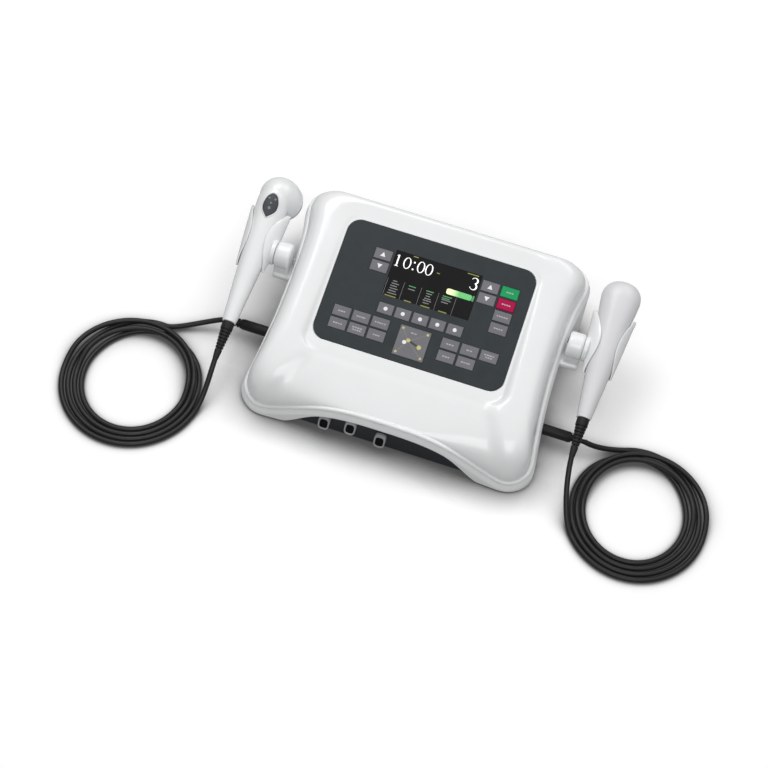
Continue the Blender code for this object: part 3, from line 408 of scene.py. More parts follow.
def combine(obj, other, operation):
    """Joins another closed object to this one, or cuts it out, and removes the other."""
    step = obj.modifiers.new("combine", "BOOLEAN")
    step.operation = operation
    step.solver = "EXACT"
    step.object = other
    bake(obj)
    bpy.data.objects.remove(other, do_unlink=True)


def smooth_curve(points, steps):
    """Points of a smooth curve through the given ones, by distance along it, with steps per span."""
    points = np.asarray(points, float)
    gaps = np.maximum(np.linalg.norm(np.diff(points, axis=0), axis=1), 1e-6)
    slopes = np.diff(points, axis=0) / gaps[:, None]
    tangents = np.empty_like(points)
    tangents[0], tangents[-1] = slopes[0], slopes[-1]
    weight = (gaps[:-1] / (gaps[:-1] + gaps[1:]))[:, None]
    tangents[1:-1] = slopes[:-1] * (1 - weight) + slopes[1:] * weight
    found = [points[:1]]
    for i, gap in enumerate(gaps):
        t = np.linspace(0, 1, steps + 1)[1:, None]
        found.append(
            points[i] * (2 * t**3 - 3 * t**2 + 1)
            + tangents[i] * gap * (t**3 - 2 * t**2 + t)
            + points[i + 1] * (3 * t**2 - 2 * t**3)
            + tangents[i + 1] * gap * (t**3 - t**2)
        )
    return np.concatenate(found)


def rounded(rows, radii, steps):
    """Rows with each inner one replaced by a short curve that starts and ends its radius away."""
    rows = [np.asarray(row, float) for row in rows]
    found = [rows[0]]
    for before, here, after, radius in zip(rows, rows[1:], rows[2:], radii):
        if not radius:
            found.append(here)
            continue
        back, ahead = before - here, after - here
        back_length = np.maximum(np.linalg.norm(back, axis=-1, keepdims=True), 1e-6)
        ahead_length = np.maximum(np.linalg.norm(ahead, axis=-1, keepdims=True), 1e-6)
        start = here + back * np.minimum(radius / back_length, 0.48)
        end = here + ahead * np.minimum(radius / ahead_length, 0.48)
        for k in range(steps + 1):
            t = k / steps
            found.append(start * (1 - t) ** 2 + here * 2 * t * (1 - t) + end * t**2)
    found.append(rows[-1])
    return found


def turned(profile, sides, radius, wobble=None):
    """A turned solid about Y from (y, radius) pairs, corners eased; wobble(y, angle) adds to the radius."""
    eased = rounded([np.array(pair, float) for pair in profile], [radius] * (len(profile) - 2), 2)
    angles = circle(sides)
    rows = []
    for y, size in eased:
        size = size + (wobble(y, angles) if wobble else 0.0)
        rows.append(oval(y, size, size, angles))
    return skin(rows, caps=True)


def moved(shape, turn=None, place=(0.0, 0.0, 0.0)):
    points, faces = shape
    if turn is not None:
        points = points @ np.asarray(turn).T
    return points + np.asarray(place, float), faces


def tube_rows(path, radius):
    """Rings of a round tube along a path, turned as little as possible from one to the next."""
    path = np.asarray(path, float)
    along = np.gradient(path, axis=0)
    along /= np.linalg.norm(along, axis=1, keepdims=True)
    normal = np.cross(along[0], (0.0, 0.0, 1.0))
    angles = circle(LEAD_SIDES)
    rows = []
    for spot, direction in zip(path, along):
        normal = normal - direction * np.dot(normal, direction)
        normal /= np.linalg.norm(normal)
        other = np.cross(direction, normal)
        ring = np.cos(angles)[:, None] * normal + np.sin(angles)[:, None] * other
        rows.append(spot + radius * ring)
    return rows


def bezier(a, b, c, d, steps):
    """Points of a cubic Bezier after its first point."""
    t = (np.arange(1, steps + 1) / steps)[:, None]
    a, b, c, d = (np.asarray(point, float) for point in (a, b, c, d))
    return a * (1 - t) ** 3 + b * 3 * t * (1 - t) ** 2 + c * 3 * t * t * (1 - t) + d * t**3


def smoothstep(t):
    t = np.clip(t, 0.0, 1.0)
    return t * t * (3 - 2 * t)


# ---- console outlines
def half_rectangle(half, y_front, y_back, r_front, r_back, half_back=None):
    """The right half of a rounded rectangle, from the middle of the front to the middle of the back."""
    half_back = half if half_back is None else half_back
    front = np.linspace(0, 1, FRONT_STEPS, endpoint=False)
    corner = np.radians(np.linspace(0, 90, CORNER_STEPS, endpoint=False))
    side = np.linspace(0, 1, SIDE_STEPS, endpoint=False)
    back = np.linspace(1, 0, BACK_STEPS + 1)
    parts = [
        (front * (half - r_front), np.full(FRONT_STEPS, y_front)),
        (half - r_front + r_front * np.sin(corner), y_front + r_front - r_front * np.cos(corner)),
        (half + (half_back - half) * side, (y_front + r_front) * (1 - side) + (y_back - r_back) * side),
        (half_back - r_back + r_back * np.cos(corner), y_back - r_back + r_back * np.sin(corner)),
        (back * (half_back - r_back), np.full(BACK_STEPS + 1, y_back)),
    ]
    return np.concatenate([np.stack(part, axis=1) for part in parts])


def whole_row(half):
    """Mirrors a half outline of points to the left, keeping the two middle points single."""
    left = half[-2:0:-1] * (-1.0, 1.0, 1.0)
    return np.concatenate([half, left])


def panel_row(half_front, half_back, y_front, y_back, radius, height):
    """An outline on the tilted panel; height is a number or a function of the place."""
    half = half_rectangle(half_front, y_front, y_back, radius, radius, half_back)
    level = height(half[:, 0], half[:, 1]) if callable(height) else np.full(len(half), height)
    return whole_row(on_panel(np.column_stack([half, level])))


def rim_z(x, y):
    """Height of the rim: a sloping line, arched up along the front and a little along the sides."""
    line = RIM_Z0 + RIM_SLOPE * (y + 95)
    share = np.minimum(np.abs(x) / 150, 1.0) ** 1.6
    lift = RIM_FRONT_LIFT * (1 - np.sin(math.pi / 2 * share) ** 2)
    front = 1 - smoothstep((y + 116) / 26)
    side = np.sin(math.pi * np.clip((y + 95) / 190, 0, 1))
    return line + lift * front + RIM_SIDE_LIFT * side


def ear(y):
    """How far the sides stand out beyond the waist."""
    forward = RIM_FRONT_EAR * np.clip((WAIST_Y - y) / 110, 0, 1.05) ** 2
    backward = RIM_BACK_EAR * np.clip((y - WAIST_Y) / 100, 0, 1.05) ** 3
    return np.where(y < WAIST_Y, forward, backward)


def rim_half(offset=0.0):
    """Plan of the rim's right half, moved outwards by offset: waisted sides and a bowed front."""
    base = half_rectangle(
        RIM_HALF_W + offset,
        RIM_FRONT_Y - offset,
        RIM_BACK_Y + offset,
        RIM_CORNER_FRONT + offset,
        RIM_CORNER_BACK + offset,
    )
    x, y = base[:, 0], base[:, 1]
    bow = RIM_FRONT_BOW * np.minimum(x / 141, 1.0) ** 2 * (1 - smoothstep((y + 110) / 60))
    return np.stack([x + ear(y) * x / RIM_HALF_W, y - bow], axis=1)


RIM_LINE = rim_half()
RIM_HEIGHT = rim_z(RIM_LINE[:, 0], RIM_LINE[:, 1])


def rim_row(offset, drop):
    """A row that follows the rim, offset outwards and dropped below it."""
    return whole_row(np.column_stack([rim_half(offset), RIM_HEIGHT - drop]))


# ---- top shell
def shoulder_height(u, v):
    """The side shoulders are flatter than the panel, so they stand higher above it towards the front."""
    return smoothstep((np.abs(u) - 96) / 24) * (1.0 + 4.6 * np.clip((80 - v) / 155, 0, 1))


def crest_height(u, v):
    return shoulder_height(u, v) + 0.6


def roll_off(crest, rim, steps):
    """Rows that leave the crest along the panel and arrive at the rim steeply, like part of an ellipse."""
    reach = rim - crest
    fall = np.outer(reach @ PANEL_UP, PANEL_UP)
    rows = []
    for k in range(1, steps + 1):
        turn = math.pi / 2 * k / steps
        rows.append(crest + (reach - fall) * math.sin(turn) ** 0.9 + fall * (1 - math.cos(turn)) ** 1.3)
    return rows


def bead_rows(start, end, steps):
    """The half-round bead along the rim, from its inner foot over the top to its underside."""
    rows = []
    for turn in np.radians(np.linspace(start, end, steps)):
        rows.append(rim_row(BEAD_OUT + BEAD_R * math.cos(turn), -BEAD_R * math.sin(turn)))
    return rows


def make_top_shell():
    """The glossy upper cover: a platform with a recess for the panel, a rolled rim and a bead."""
    opening = (PANEL_W / 2 - 8, PANEL_H / 2 - 7, 10.0)
    recess = (PANEL_W / 2 + GAP, PANEL_H / 2 + GAP, PANEL_R)

    def flat(size, height):
        return panel_row(size[0], size[0], -size[1], size[1], size[2], height)

    crest = panel_row(134, 131, -98, 93, 30, crest_height)
    rolled = roll_off(crest, rim_row(-1.5, -0.6), 30)
    platform = [
        flat(opening, -RECESS_DEPTH),
        flat(recess, -RECESS_DEPTH),
        flat(recess, 0.0),
        panel_row(114.5, 113.5, -87, 77, 15, 0.0),
        panel_row(122, 117.5, -90, 79.5, 19, shoulder_height),
        crest,
        rolled[2],
    ]
    outer = rounded(platform, [0.2, 0.5, 3.4, 5.5, 5.5], 6)[:-1] + rolled[2:]
    bead = bead_rows(158, -65, 13)
    inner_crest = panel_row(130, 125, -95, 87, 28, -WALL)
    inner_rim = rim_row(-WALL - 1.5, 1.4)
    under = [inner_rim, *roll_off(inner_crest, inner_rim, 8)[-2::-1], inner_crest]
    under.append(flat(opening, -RECESS_DEPTH - WALL))
    cover = skin(outer + bead + under, wrap=True)
    piece("top_cover", cover, WHITE, "console", ["top_shell"], 50)


# ---- skirt
def leg_share(x, y):
    """1 where the skirt runs down into a leg, 0 in the arches between the legs."""
    front = np.where(y < -80, np.clip((np.abs(x) - FRONT_ARCH_X) / (LEG_X - FRONT_ARCH_X), 0, None), 1.0)
    back = np.where(y > 100, np.clip((np.abs(x) - BACK_ARCH_X) / (LEG_X - BACK_ARCH_X), 0, None), 1.0)
    side = np.maximum(np.clip((-44 - y) / 32, 0, None), np.clip((y - 58) / 40, 0, None))
    return np.minimum(np.minimum(front, back), np.minimum(side, 1.0)) ** 2.2


def skirt_row(offset, lift=0.0):
    """The skirt's lower edge: near the rim in the arches and close to the table at the legs."""
    x, y = RIM_LINE[:, 0], RIM_LINE[:, 1]
    arch = RIM_HEIGHT - SKIRT_H
    edge = arch + (LEG_END_Z - arch) * leg_share(x, y)
    return whole_row(np.column_stack([rim_half(offset), edge + lift]))


def between(first, second, steps):
    return [first + (second - first) * k / steps for k in range(1, steps)]


def make_lower_shell():
    """The white skirt under the rim: a groove below the bead, a flare, arches and four legs."""
    flare = rim_row(SKIRT_FLARE, 9.0)
    edge, edge_end = skirt_row(SKIRT_FLARE, 1.3), skirt_row(SKIRT_FLARE - 0.9)
    groove = [rim_row(-0.9, 2.5), rim_row(0.8, 2.5), rim_row(1.9, 3.8), rim_row(3.3, 6.2), flare]
    outer = rounded(groove, [0.5, 0.8, 1.2], 3)
    outer += between(flare, edge, 8) + [edge]
    inner_edge, inner_top = skirt_row(SKIRT_FLARE - WALL, 1.0), rim_row(SKIRT_FLARE - WALL - 0.5, 8.6)
    lip = rounded([edge, edge_end, skirt_row(SKIRT_FLARE - WALL + 0.7), inner_edge], [0.8, 0.6], 2)
    inner = lip + between(inner_edge, inner_top, 4) + [inner_top, rim_row(-1.8, 2.9)]
    skirt = skin(outer + inner, wrap=True)
    piece("lower_skirt", skirt, WHITE, "console", ["lower_shell"], 45)


# ---- arms and cradles
def box_shape(size, centre):
    """A block along x, y and z with all its edges rounded."""
    half, radius = np.array(size, float) / 2, BLOCK_EDGE_R
    corner = np.radians(np.linspace(0, 90, 5))
    outline = []
    for sx, sy, start in ((1, -1, -90), (1, 1, 0), (-1, 1, 90), (-1, -1, 180)):
        for turn in corner + math.radians(start):
            x, y = sx * (half[0] - radius), sy * (half[1] - radius)
            outline.append((x, y, math.cos(turn), math.sin(turn)))
    outline = np.array(outline)
    rows = []
    profile = [(-half[2] + radius * (1 - math.sin(t)), radius * (1 - math.cos(t))) for t in corner[::-1]]
    profile += [(-z, inset) for z, inset in profile[::-1]]
    for z, inset in profile:
        rows.append(at_level(outline[:, :2] + outline[:, 2:] * (radius - inset), z))
    return moved(skin(rows, caps=True), place=centre)


def drum_shape(length, radius, ease):
    """A drum about Y, centred on the origin, with rounded edges."""
    turn = np.radians(np.linspace(90, 0, 6))
    half = length / 2
    profile = [(-half + ease * (1 - math.sin(t)), radius - ease * (1 - math.cos(t))) for t in turn]
    profile += [(-y, r) for y, r in profile[::-1]]
    return turned([(-half, 0.5), *profile, (half, 0.5)], 64, 0.0)


ACROSS = np.array(Matrix.Rotation(-math.pi / 2, 3, "Z"))  # takes +Y to +X


def fused(name, parts, body, replaces, voxel=0.7, rounds=6):
    """Overlapping closed parts as one white solid with softly blended joins."""
    obj = piece(name, joined(parts), WHITE)
    remesh = obj.modifiers.new("fuse", "REMESH")
    remesh.mode = "VOXEL"
    remesh.voxel_size = voxel * MM
    relax = obj.modifiers.new("relax", "SMOOTH")
    relax.factor = 0.5
    relax.iterations = rounds
    bake(obj)
    obj.data.shade_smooth()
    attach(obj, body)
    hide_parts(*replaces)
    return obj


def make_arm(side, node):
    """The bracket that comes through the skirt and ends in a round barrel for the cradle."""
    middle = side * (BARREL_INNER_X + BARREL_OUTER_X) / 2
    length = BARREL_OUTER_X - BARREL_INNER_X
    reach = BARREL_OUTER_X - ARM_INNER_X
    plate = box_shape((reach, ARM_W, ARM_T), (side * (ARM_INNER_X + BARREL_OUTER_X) / 2, PIVOT_Y, ARM_Z))
    post_h = PIVOT_Z - ARM_Z + 2
    post = box_shape((length - 0.6, 25, post_h), (middle, PIVOT_Y, ARM_Z - 2 + post_h / 2))
    barrel = moved(drum_shape(length, BARREL_R, 3.4), ACROSS, (middle, PIVOT_Y, PIVOT_Z))
    fused(f"bracket_{node}", [plate, post, barrel], "console", [node])


def handle_radius(sections, along):
    ys = [s[0] for s in sections]
    return np.interp(along, ys, [max(s[1], s[2]) for s in sections])


def wall_thickness(turn, wrap, side_t, edge_t):
    """Wall round the trough: thin below, thickest at the side, thin at the wing's edge."""
    angle = abs(turn)
    if angle <= math.pi / 2:
        return 1.8 + (side_t - 1.8) * math.sin(angle) ** 2
    left = (wrap - angle) / max(wrap - math.pi / 2, 1e-6)
    return edge_t + (side_t - edge_t) * max(left, 0.0) ** 0.7


def wing_shape(t, near_console):
    """How far a wing wraps round the handle, and its thickness; the wing by the console is the stouter."""
    belly = math.sin(math.pi * t)
    if near_console:
        return math.radians(86 + 64 * belly**0.8), 2.6 + 2.2 * t + 1.6 * belly
    return math.radians(86 + 52 * belly**0.8), 2.2 + 1.4 * t


def cradle_row(t, side, sections, shift, spread, pinch):
    """One closed ring of the trough: the inner arc, a round edge, the outer arc and the other round edge."""
    along = PIVOT_ALONG - CRADLE_FRONT + CRADLE_LENGTH * t
    radius = handle_radius(sections, along - shift) + 0.9
    inner, outer, ends = [], [], {}
    for share in np.linspace(-1, 1, 2 * spread + 1):
        wrap, side_t = wing_shape(t, share * side < 0)
        ends[-1 if share < 0 else 1] = wrap
        turn = wrap * share
        thick = wall_thickness(turn, wrap, side_t, 1.2)
        spot = np.array([math.sin(turn), 0.0, -math.cos(turn)])
        setback = max(math.cos(turn), 0) * (6 * (1 - t) ** 3 - 20 * t**3)
        base = np.array([0.0, along - PIVOT_ALONG + setback, 0.0])
        middle, half = radius + thick / 2, thick / 2 * pinch
        inner.append(base + spot * (middle - half))
        outer.append(base + spot * (middle + half))
    ring = list(inner)
    for first, last, tangent_turn in ((inner[-1], outer[-1], ends[1]), (outer[0], inner[0], -ends[-1])):
        centre, half = (first + last) / 2, (first - last) / 2
        sign = math.copysign(1.0, tangent_turn)
        tangent = np.array([math.cos(tangent_turn), 0.0, math.sin(tangent_turn)]) * sign
        bulge = tangent * np.linalg.norm(half) * 0.9
        edge = [centre + half * math.cos(a) + bulge * math.sin(a) for a in np.radians((45, 90, 135))]
        ring += edge if tangent_turn > 0 else []
        if tangent_turn > 0:
            ring += outer[::-1]
        else:
            ring += edge
    return np.array(ring)


def make_cradle(side, node, sections, shift, body):
    """The open trough that holds a handset, with two wings and a boss that meets the arm's barrel."""
    lead_in = np.array([0.0, 0.006, 0.016])
    spans = np.concatenate([lead_in, np.linspace(0.03, 0.97, 44), 1 - lead_in[::-1]])
    pinches = [0.45, 0.85] + [1.0] * (len(spans) - 4) + [0.85, 0.45]
    rows = [cradle_row(t, side, sections, shift, 28, pinch) for t, pinch in zip(spans, pinches)]
    turn = turn_x(HANDSET_SLOPE)
    place = (side * HANDSET_X, PIVOT_Y, PIVOT_Z)
    trough = moved(skin(rows, caps=True), turn, place)
    radius = handle_radius(sections, PIVOT_ALONG - shift) + 0.9
    boss_end = HANDSET_X - BARREL_OUTER_X - GAP
    length = boss_end - radius - 1.2
    boss = drum_shape(length, BARREL_R - 0.4, 0.3 * length)
    boss = moved(boss, ACROSS, (-side * (boss_end - length / 2), 0, 0))
    boss = moved(boss, turn, place)
    cradle = piece(f"{node}_trough", trough, WHITE, body, [node], 40)
    other = piece(f"{node}_boss_part", boss, WHITE)
    combine(cradle, other, "UNION")
    cradle.data.set_sharp_from_angle(angle=math.radians(40))


# ---- handsets
def handle_rows(sections):
    """Smooth oval rings along a handset."""
    curve = smooth_curve(sections, 6)
    return [oval(y, max(w, 0.05), max(h, 0.05), circle(HANDLE_SIDES)) for y, w, h in curve]


def make_applicator():
    """The ultrasound applicator: a tapered handle and a round domed head with a metal face under it."""
    roll = turn_y(APPLICATOR_ROLL)
    down = roll @ (0.0, 0.0, -1.0)
    handle = skin(handle_rows(APPLICATOR_SECTIONS), caps=True)
    tip = np.array([[1.0, 0, 0], [0, 0, 1.0], [0, -1.0, 0]])  # takes +Y to -Z
    profile = [(-height, size) for height, size in HEAD_PROFILE[::-1]]
    head = moved(turned([(-24.0, 0.2), *profile], 80, 0.5), roll @ tip, HEAD_PLACE)
    parts = [moved_to_handset(part, -1) for part in (handle, head)]
    shell = fused("applicator_shell", parts, "applicator", ["applicator_housing"], 0.6, 14)
    shares = (0.02, 0.5, 1.0)
    rows = [on_head(teardrop(0.3, share), -2.8) for share in shares]
    rows += [on_head(teardrop(0.3, share), 3.0) for share in shares[::-1]]
    hollow = piece("keypad_hollow", moved_to_handset(skin(rows, caps=True), -1), WHITE)
    combine(shell, hollow, "DIFFERENCE")
    shell.data.set_sharp_from_angle(angle=math.radians(50))
    face_profile = [(0, 20.9), (3.4, 20.9), (4.0, 20.3)]
    face = moved(turned(face_profile, 72, 0.3), roll @ tip, HEAD_PLACE + down * (GAP - HEAD_BOTTOM))
    face = moved_to_handset(face, -1)
    finish = metal_rings(tuple(to_row(face[0].mean(axis=0))))
    piece("treatment_face", face, finish, "applicator", ["applicator_face"])
    make_keypad()


def moved_to_handset(shape, side, shift=0.0):
    return on_handset(shape[0], side, shift), shape[1]


def head_height(across, along):
    """Height of the applicator's upper surface above its axis, over the handle and the head."""
    ys = [s[0] for s in APPLICATOR_SECTIONS]
    wide = np.interp(along, ys, [s[1] for s in APPLICATOR_SECTIONS])
    tall = np.interp(along, ys, [s[2] for s in APPLICATOR_SECTIONS])
    handle = tall * np.sqrt(np.clip(1 - (across / wide) ** 2, 0, 1))
    up = turn_y(APPLICATOR_ROLL) @ (0.0, 0.0, 1.0)
    heights, sizes = [s[0] for s in HEAD_PROFILE], [s[1] for s in HEAD_PROFILE]
    head = np.full_like(handle, -30.0)
    for level in np.linspace(-10, 30, 161):
        from_middle = np.stack([across, along, np.full_like(across, level)], axis=-1) - HEAD_PLACE
        above = from_middle @ up
        out = np.linalg.norm(from_middle - above[..., None] * up, axis=-1)
        inside = (out < np.interp(above, heights, sizes)) & (above < heights[-1])
        head = np.where(inside, level, head)
    return np.maximum(handle, head)


def teardrop(grow, scale=1.0):
    """The keypad's outline about its centre: round towards the tip, pointed towards the handle."""
    angle = circle(KEYPAD_POINTS)
    point = np.maximum(0.0, -np.sin(angle)) ** 3
    half = (KEYPAD_WIDTH / 2 + grow) * np.cos(angle) * (1 - 0.75 * point)
    return np.stack([half, (KEYPAD_LENGTH / 2 + grow) * np.sin(angle)], axis=1) * scale


def on_head(outline, above):
    """A flat outline about the keypad's centre, laid on the curved head."""
    across, along = (outline + KEYPAD_PLACE).T
    return np.column_stack([across, along, head_height(across, along) + above])


def make_keypad():
    """The slate keypad in the head, its white rim, and the marks on it."""
    shares = (1.0, 0.985, 0.95, 0.8, 0.6, 0.4, 0.2, 0.02)
    heights = (-0.1, 0.35, 0.5, 0.6, 0.65, 0.7, 0.7, 0.7)
    rows = [on_head(teardrop(0.0), -1.2)]
    rows += [on_head(teardrop(0.0, share), height) for share, height in zip(shares, heights)]
    pad = skin(rows, caps=True)
    piece(
        "applicator_keypad_cover", moved_to_handset(pad, -1), KEYPAD, "applicator_button",
        ["applicator_keypad"],
    )
    rows = [on_head(teardrop(0.35), -0.6), on_head(teardrop(0.35), 0.55), on_head(teardrop(0.9), 0.75)]
    rows += [on_head(teardrop(1.6), 0.45), on_head(teardrop(2.1), -0.15), on_head(teardrop(2.1), -0.8)]
    rim = skin(rows, wrap=True)
    piece("applicator_keypad_rim", moved_to_handset(rim, -1), WHITE, "applicator")
    marks = []
    for across, along, radius in ((-3.6, 8.2, 1.25), (3.6, 8.2, 1.25), (0.0, 2.6, 1.2), (0.0, -3.6, 1.8)):
        dot, centre = disc(across, along, radius, 20), np.array([across, along])
        rows = [on_head(dot, 0.3), on_head(dot, 0.95), on_head(centre + (dot - centre) * 0.75, 1.05)]
        marks.append(skin(rows, caps=True))
    shape = moved_to_handset(joined(marks), -1)
    piece("applicator_keypad_marks", shape, MARK_GREY, "applicator_button")


def make_probe():
    """The light probe: a tapered handle and a flat round head with a lens in its underside."""
    housing = moved_to_handset(skin(handle_rows(PROBE_SECTIONS), caps=True), 1, PROBE_SHIFT)
    piece("probe_shell", housing, PROBE, "probe", ["probe_housing"], 60)
    up = np.array(Matrix.Rotation(math.pi / 2, 3, "X"))  # takes +Y to +Z
    ring = turned([(-17.9, 13.6), (-18.3, 14.6), (-17.6, 15.8), (-10, 16.2)], 64, 0.4)
    ring = moved_to_handset(moved(ring, up, (0, LENS_ALONG, 0)), 1, PROBE_SHIFT)
    piece("probe_lens_bezel", ring, CHARCOAL, "probe")
    dome = [(-18.9, 0.3), (-18.85, 4), (-18.65, 8), (-18.3, 11.5), (-17.9, 13.2), (-16.0, 13.4)]
    lens = moved_to_handset(moved(turned(dome, 64, 0.6), up, (0, LENS_ALONG, 0)), 1, PROBE_SHIFT)
    piece("probe_lens_window", lens, LENS, "probe", ["probe_lens"], 60)


def rib(start, pitch, radius, depth):
    """(y, radius) pairs of one rib and the groove after it."""
    groove, edge = radius - depth, start + pitch * 0.6
    return [(start, radius), (edge, radius), (edge, groove), (start + pitch, groove)]


def boot_profile():
    """(y, radius) pairs from the handle end outwards: a collar, ribs with grooves, then a taper."""
    small = CABLE_R + 0.6
    profile = [(0.0, BOOT_R - 1.0), (-0.01, BOOT_R), (-9, BOOT_R), (-9, BOOT_R - 1.6), (-10.5, BOOT_R - 1.6)]
    y = -10.5
    for k in range(BOOT_RIBS):
        profile += rib(y, -RIB_PITCH, BOOT_R - 0.6 - (BOOT_R - small - 1.4) * k / BOOT_RIBS, 1.9)
        y -= RIB_PITCH
    return profile + [(y, small + 0.9), (-BOOT_LENGTH, small)]


def make_boot(name, side, shift, body):
    boot = moved(turned(boot_profile(), 48, 0.35), place=(0, -GAP, 0))
    piece(f"{name}_boot", moved_to_handset(boot, side, shift), RUBBER, body, [name], 40)


# ---- plugs, sockets and leads
def make_socket(side, node):
    """The receptacle in the case wall that takes a handset's plug."""
    profile = [(-8, 4.2), (-8, 6.8), (7.4, 6.8), (7.4, 9.2), (10, 9.2), (10, 5.2), (-2, 5.2)]
    shape = turned(profile, 56, 0.5)
    place = (side * (SOCKET_FACE_X - 10), SOCKET_Y[side], SOCKET_Z)
    shape = moved(moved(shape, ACROSS * side), place=place)
    piece(f"{node}_flange", shape, SOCKET_SILVER, "console", [node])


def make_plug(side, node, body):
    """A round plug: a silver nose, a knurled collar, a plain barrel and a ribbed boot."""
    collar = PLUG_R + 0.6

    def knurl(y, angles):
        share = 1.0 if 3.2 < y < 11 else 0.0
        return share * 0.28 * np.cos(28 * angles)

    profile = [(-8.6, 4.2), (-8.6, 4.6), (0.6, 4.6), (0.6, 5.4)]
    nose = turned(profile, 56, 0.2)
    grip = [(1.9, 4.6), (1.9, collar), (3.0, collar), (3.3, collar), (10.9, collar), (12, collar)]
    grip += [(12, PLUG_R), (46, PLUG_R)]
    for k in range(PLUG_RIBS):
        grip += rib(46.0 + RIB_PITCH * k, RIB_PITCH, PLUG_R - 0.5 - 0.45 * k, 1.7)
    grip.append((PLUG_LENGTH, CABLE_R + 0.4))
    barrel = turned(grip, 112, 0.3, knurl)
    place = (side * (SOCKET_FACE_X + GAP), SOCKET_Y[side], SOCKET_Z)
    turn = ACROSS * side
    piece(f"{node}_barrel", moved(barrel, turn, place), RUBBER, body, [node], 40)
    ring = turned([(0.5, 4.4), (0.5, 5.7), (1.9, 5.7), (1.9, 4.4)], 56, 0.2)
    parts = joined([moved(nose, turn, place), moved(ring, turn, place)])
    piece(f"{node}_nose", parts, SOCKET_SILVER, body)


# each coil's edges are ovals about its centre: (centre x, centre y, half width, half length)
COILS = {
    -1: {"y": -130, "inner": (-3.2, 0, 57.2, 61.6), "outer": (-1.2, -1.2, 83.5, 85.4), "turns": (95, 195)},
    1: {"y": -97, "inner": (-0.3, 1.6, 54.9, 60.1), "outer": (1.1, -0.3, 81.2, 84.0), "turns": (112, 218)},
}
CROSS_START, CROSS_END = 160, 20  # the strands change lanes between these angles, degrees
CROSS_LIFT = 6.0
COIL_STEP = 4  # degrees between the coil's points
LANES = (2 / 3, 0, 1 / 3, 1)  # where each turn lies, from the inner edge (0) to the outer (1)


def lane(angle, start):
    """Where the strand lies across the coil and whether it rides over others, at an unwound angle."""
    share = LANES[0] + 0.38 * (1 - smoothstep((start - angle) / (start - CROSS_END)))
    raised = 0.0
    for turn, (before, after) in enumerate(zip(LANES, LANES[1:]), 1):
        here = angle + 360 * turn
        if here < CROSS_START:
            share = before + (after - before) * smoothstep((CROSS_START - here) / (CROSS_START - CROSS_END))
        if turn > 1:
            rise = smoothstep((CROSS_START + 30 - here) / 28)
            fall = smoothstep((CROSS_END - here) / 28)
            raised = max(raised, rise * (1 - fall))
    return share, raised


def coil_points(side):
    """The coil: nearly four turns laid flat on the table, each crossing to its own lane at the back."""
    coil = COILS[side]
    start, end = coil["turns"]
    inner, outer = np.array(coil["inner"], float), np.array(coil["outer"], float)
    spots = []
    for angle in range(start, end - 360 * len(LANES) - 1, -COIL_STEP):
        share, raised = lane(angle, start)
        turn = math.radians(angle)
        middle_x, middle_y, half_x, half_y = inner + (outer - inner) * share
        margin = CABLE_R * (1 - 2 * share)
        x = side * (COIL_X + middle_x + (half_x + margin) * math.cos(turn))
        y = coil["y"] + middle_y + (half_y + margin) * math.sin(turn)
        spots.append((x, y, JACKET_R + CROSS_LIFT * raised))
    return np.array(spots)


def make_lead(side, node, shift):
    """A lead: from the plug to the coil, round it, and up to the handset's boot in two pieces."""
    coil = coil_points(side)
    plug_end = np.array([side * (SOCKET_FACE_X + GAP + PLUG_LENGTH - 2.0), SOCKET_Y[side], SOCKET_Z])
    arrive = coil[1] - coil[0]
    arrive /= np.linalg.norm(arrive)
    bend = plug_end + (side * 16, 0, -6)
    first = np.concatenate([[plug_end], bezier(plug_end, bend, coil[0] - arrive * 13, coil[0], 24)])
    boot_end = on_handset([(0.0, 2.0 - BOOT_LENGTH, 0.0)], side, shift)[0]
    out_of_boot = on_handset([(0.0, -BOOT_LENGTH - 20.0, 0.0)], side, shift)[0]
    leave = coil[-1] - coil[-2]
    leave /= np.linalg.norm(leave)
    last = bezier(coil[-1], coil[-1] + leave * 24, out_of_boot, boot_end, 28)
    path = np.concatenate([first, coil[1:], last])
    rows = tube_rows(path, JACKET_R)
    coil_start, coil_end = len(first) - 1, len(first) + len(coil) - 2
    middle = coil_end + len(last) // 2
    whole = (0, coil_start, coil_end, middle, len(rows) - 1)
    names = (f"{node}_plug_end", f"{node}_coil", f"{node}_rise", f"{node}_boot_end")
    pieces = []
    for name, a, b in zip(names, whole, whole[1:]):
        pieces.append(piece(name, skin(rows[a : b + 1], caps=True), CABLE, sharp=60))
    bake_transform(pieces[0])
    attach(pieces[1], "console")
    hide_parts(node)
    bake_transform(pieces[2])
    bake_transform(pieces[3])


# ---- front jacks
def make_jack(node, x, z):
    """A squarish moulded jack with a rounded rim and an opening darkened by a near-black filler as painted
    shade.
    """
    angle = circle(64)

    def squarish(radius, y, power=3.4):
        size = radius / (np.abs(np.cos(angle)) ** power + np.abs(np.sin(angle)) ** power) ** (1 / power)
        return oval(y, size, size, angle) + (x, 0.0, z)

    def slanted(radius, back=0.0, drop=0.0):
        rows = squarish(radius, JACK_LIP_Y + back) - (0.0, 0.0, drop)
        rows[:, 1] += (rows[:, 2] - z + JACK_R) * math.tan(JACK_SLANT)
        return rows

    rows = [squarish(4.4, -104.0, 2), squarish(6.2, -104.0, 2), squarish(6.4, JACK_FACE_Y - 0.5)]
    rows += [slanted(JACK_R), slanted(4.7, 0.0, 1.2), slanted(4.4, 8.0, 1.2)]
    rows = rounded(rows, [0.3, 0.2, 0.9, 0.8], 4)
    piece(f"{node}_hood", skin(rows, caps=True), CONNECTOR, "console", [node])
    # a near-black filler just inside the lip: painted shade in place of the hole's own shadow
    inside = [slanted(4.6, 1.4, 1.2), slanted(4.5, 7.9, 1.2)]
    piece(f"{node}_bore", skin(inside, caps=True), PAINTED_BORE_SHADE, "console")


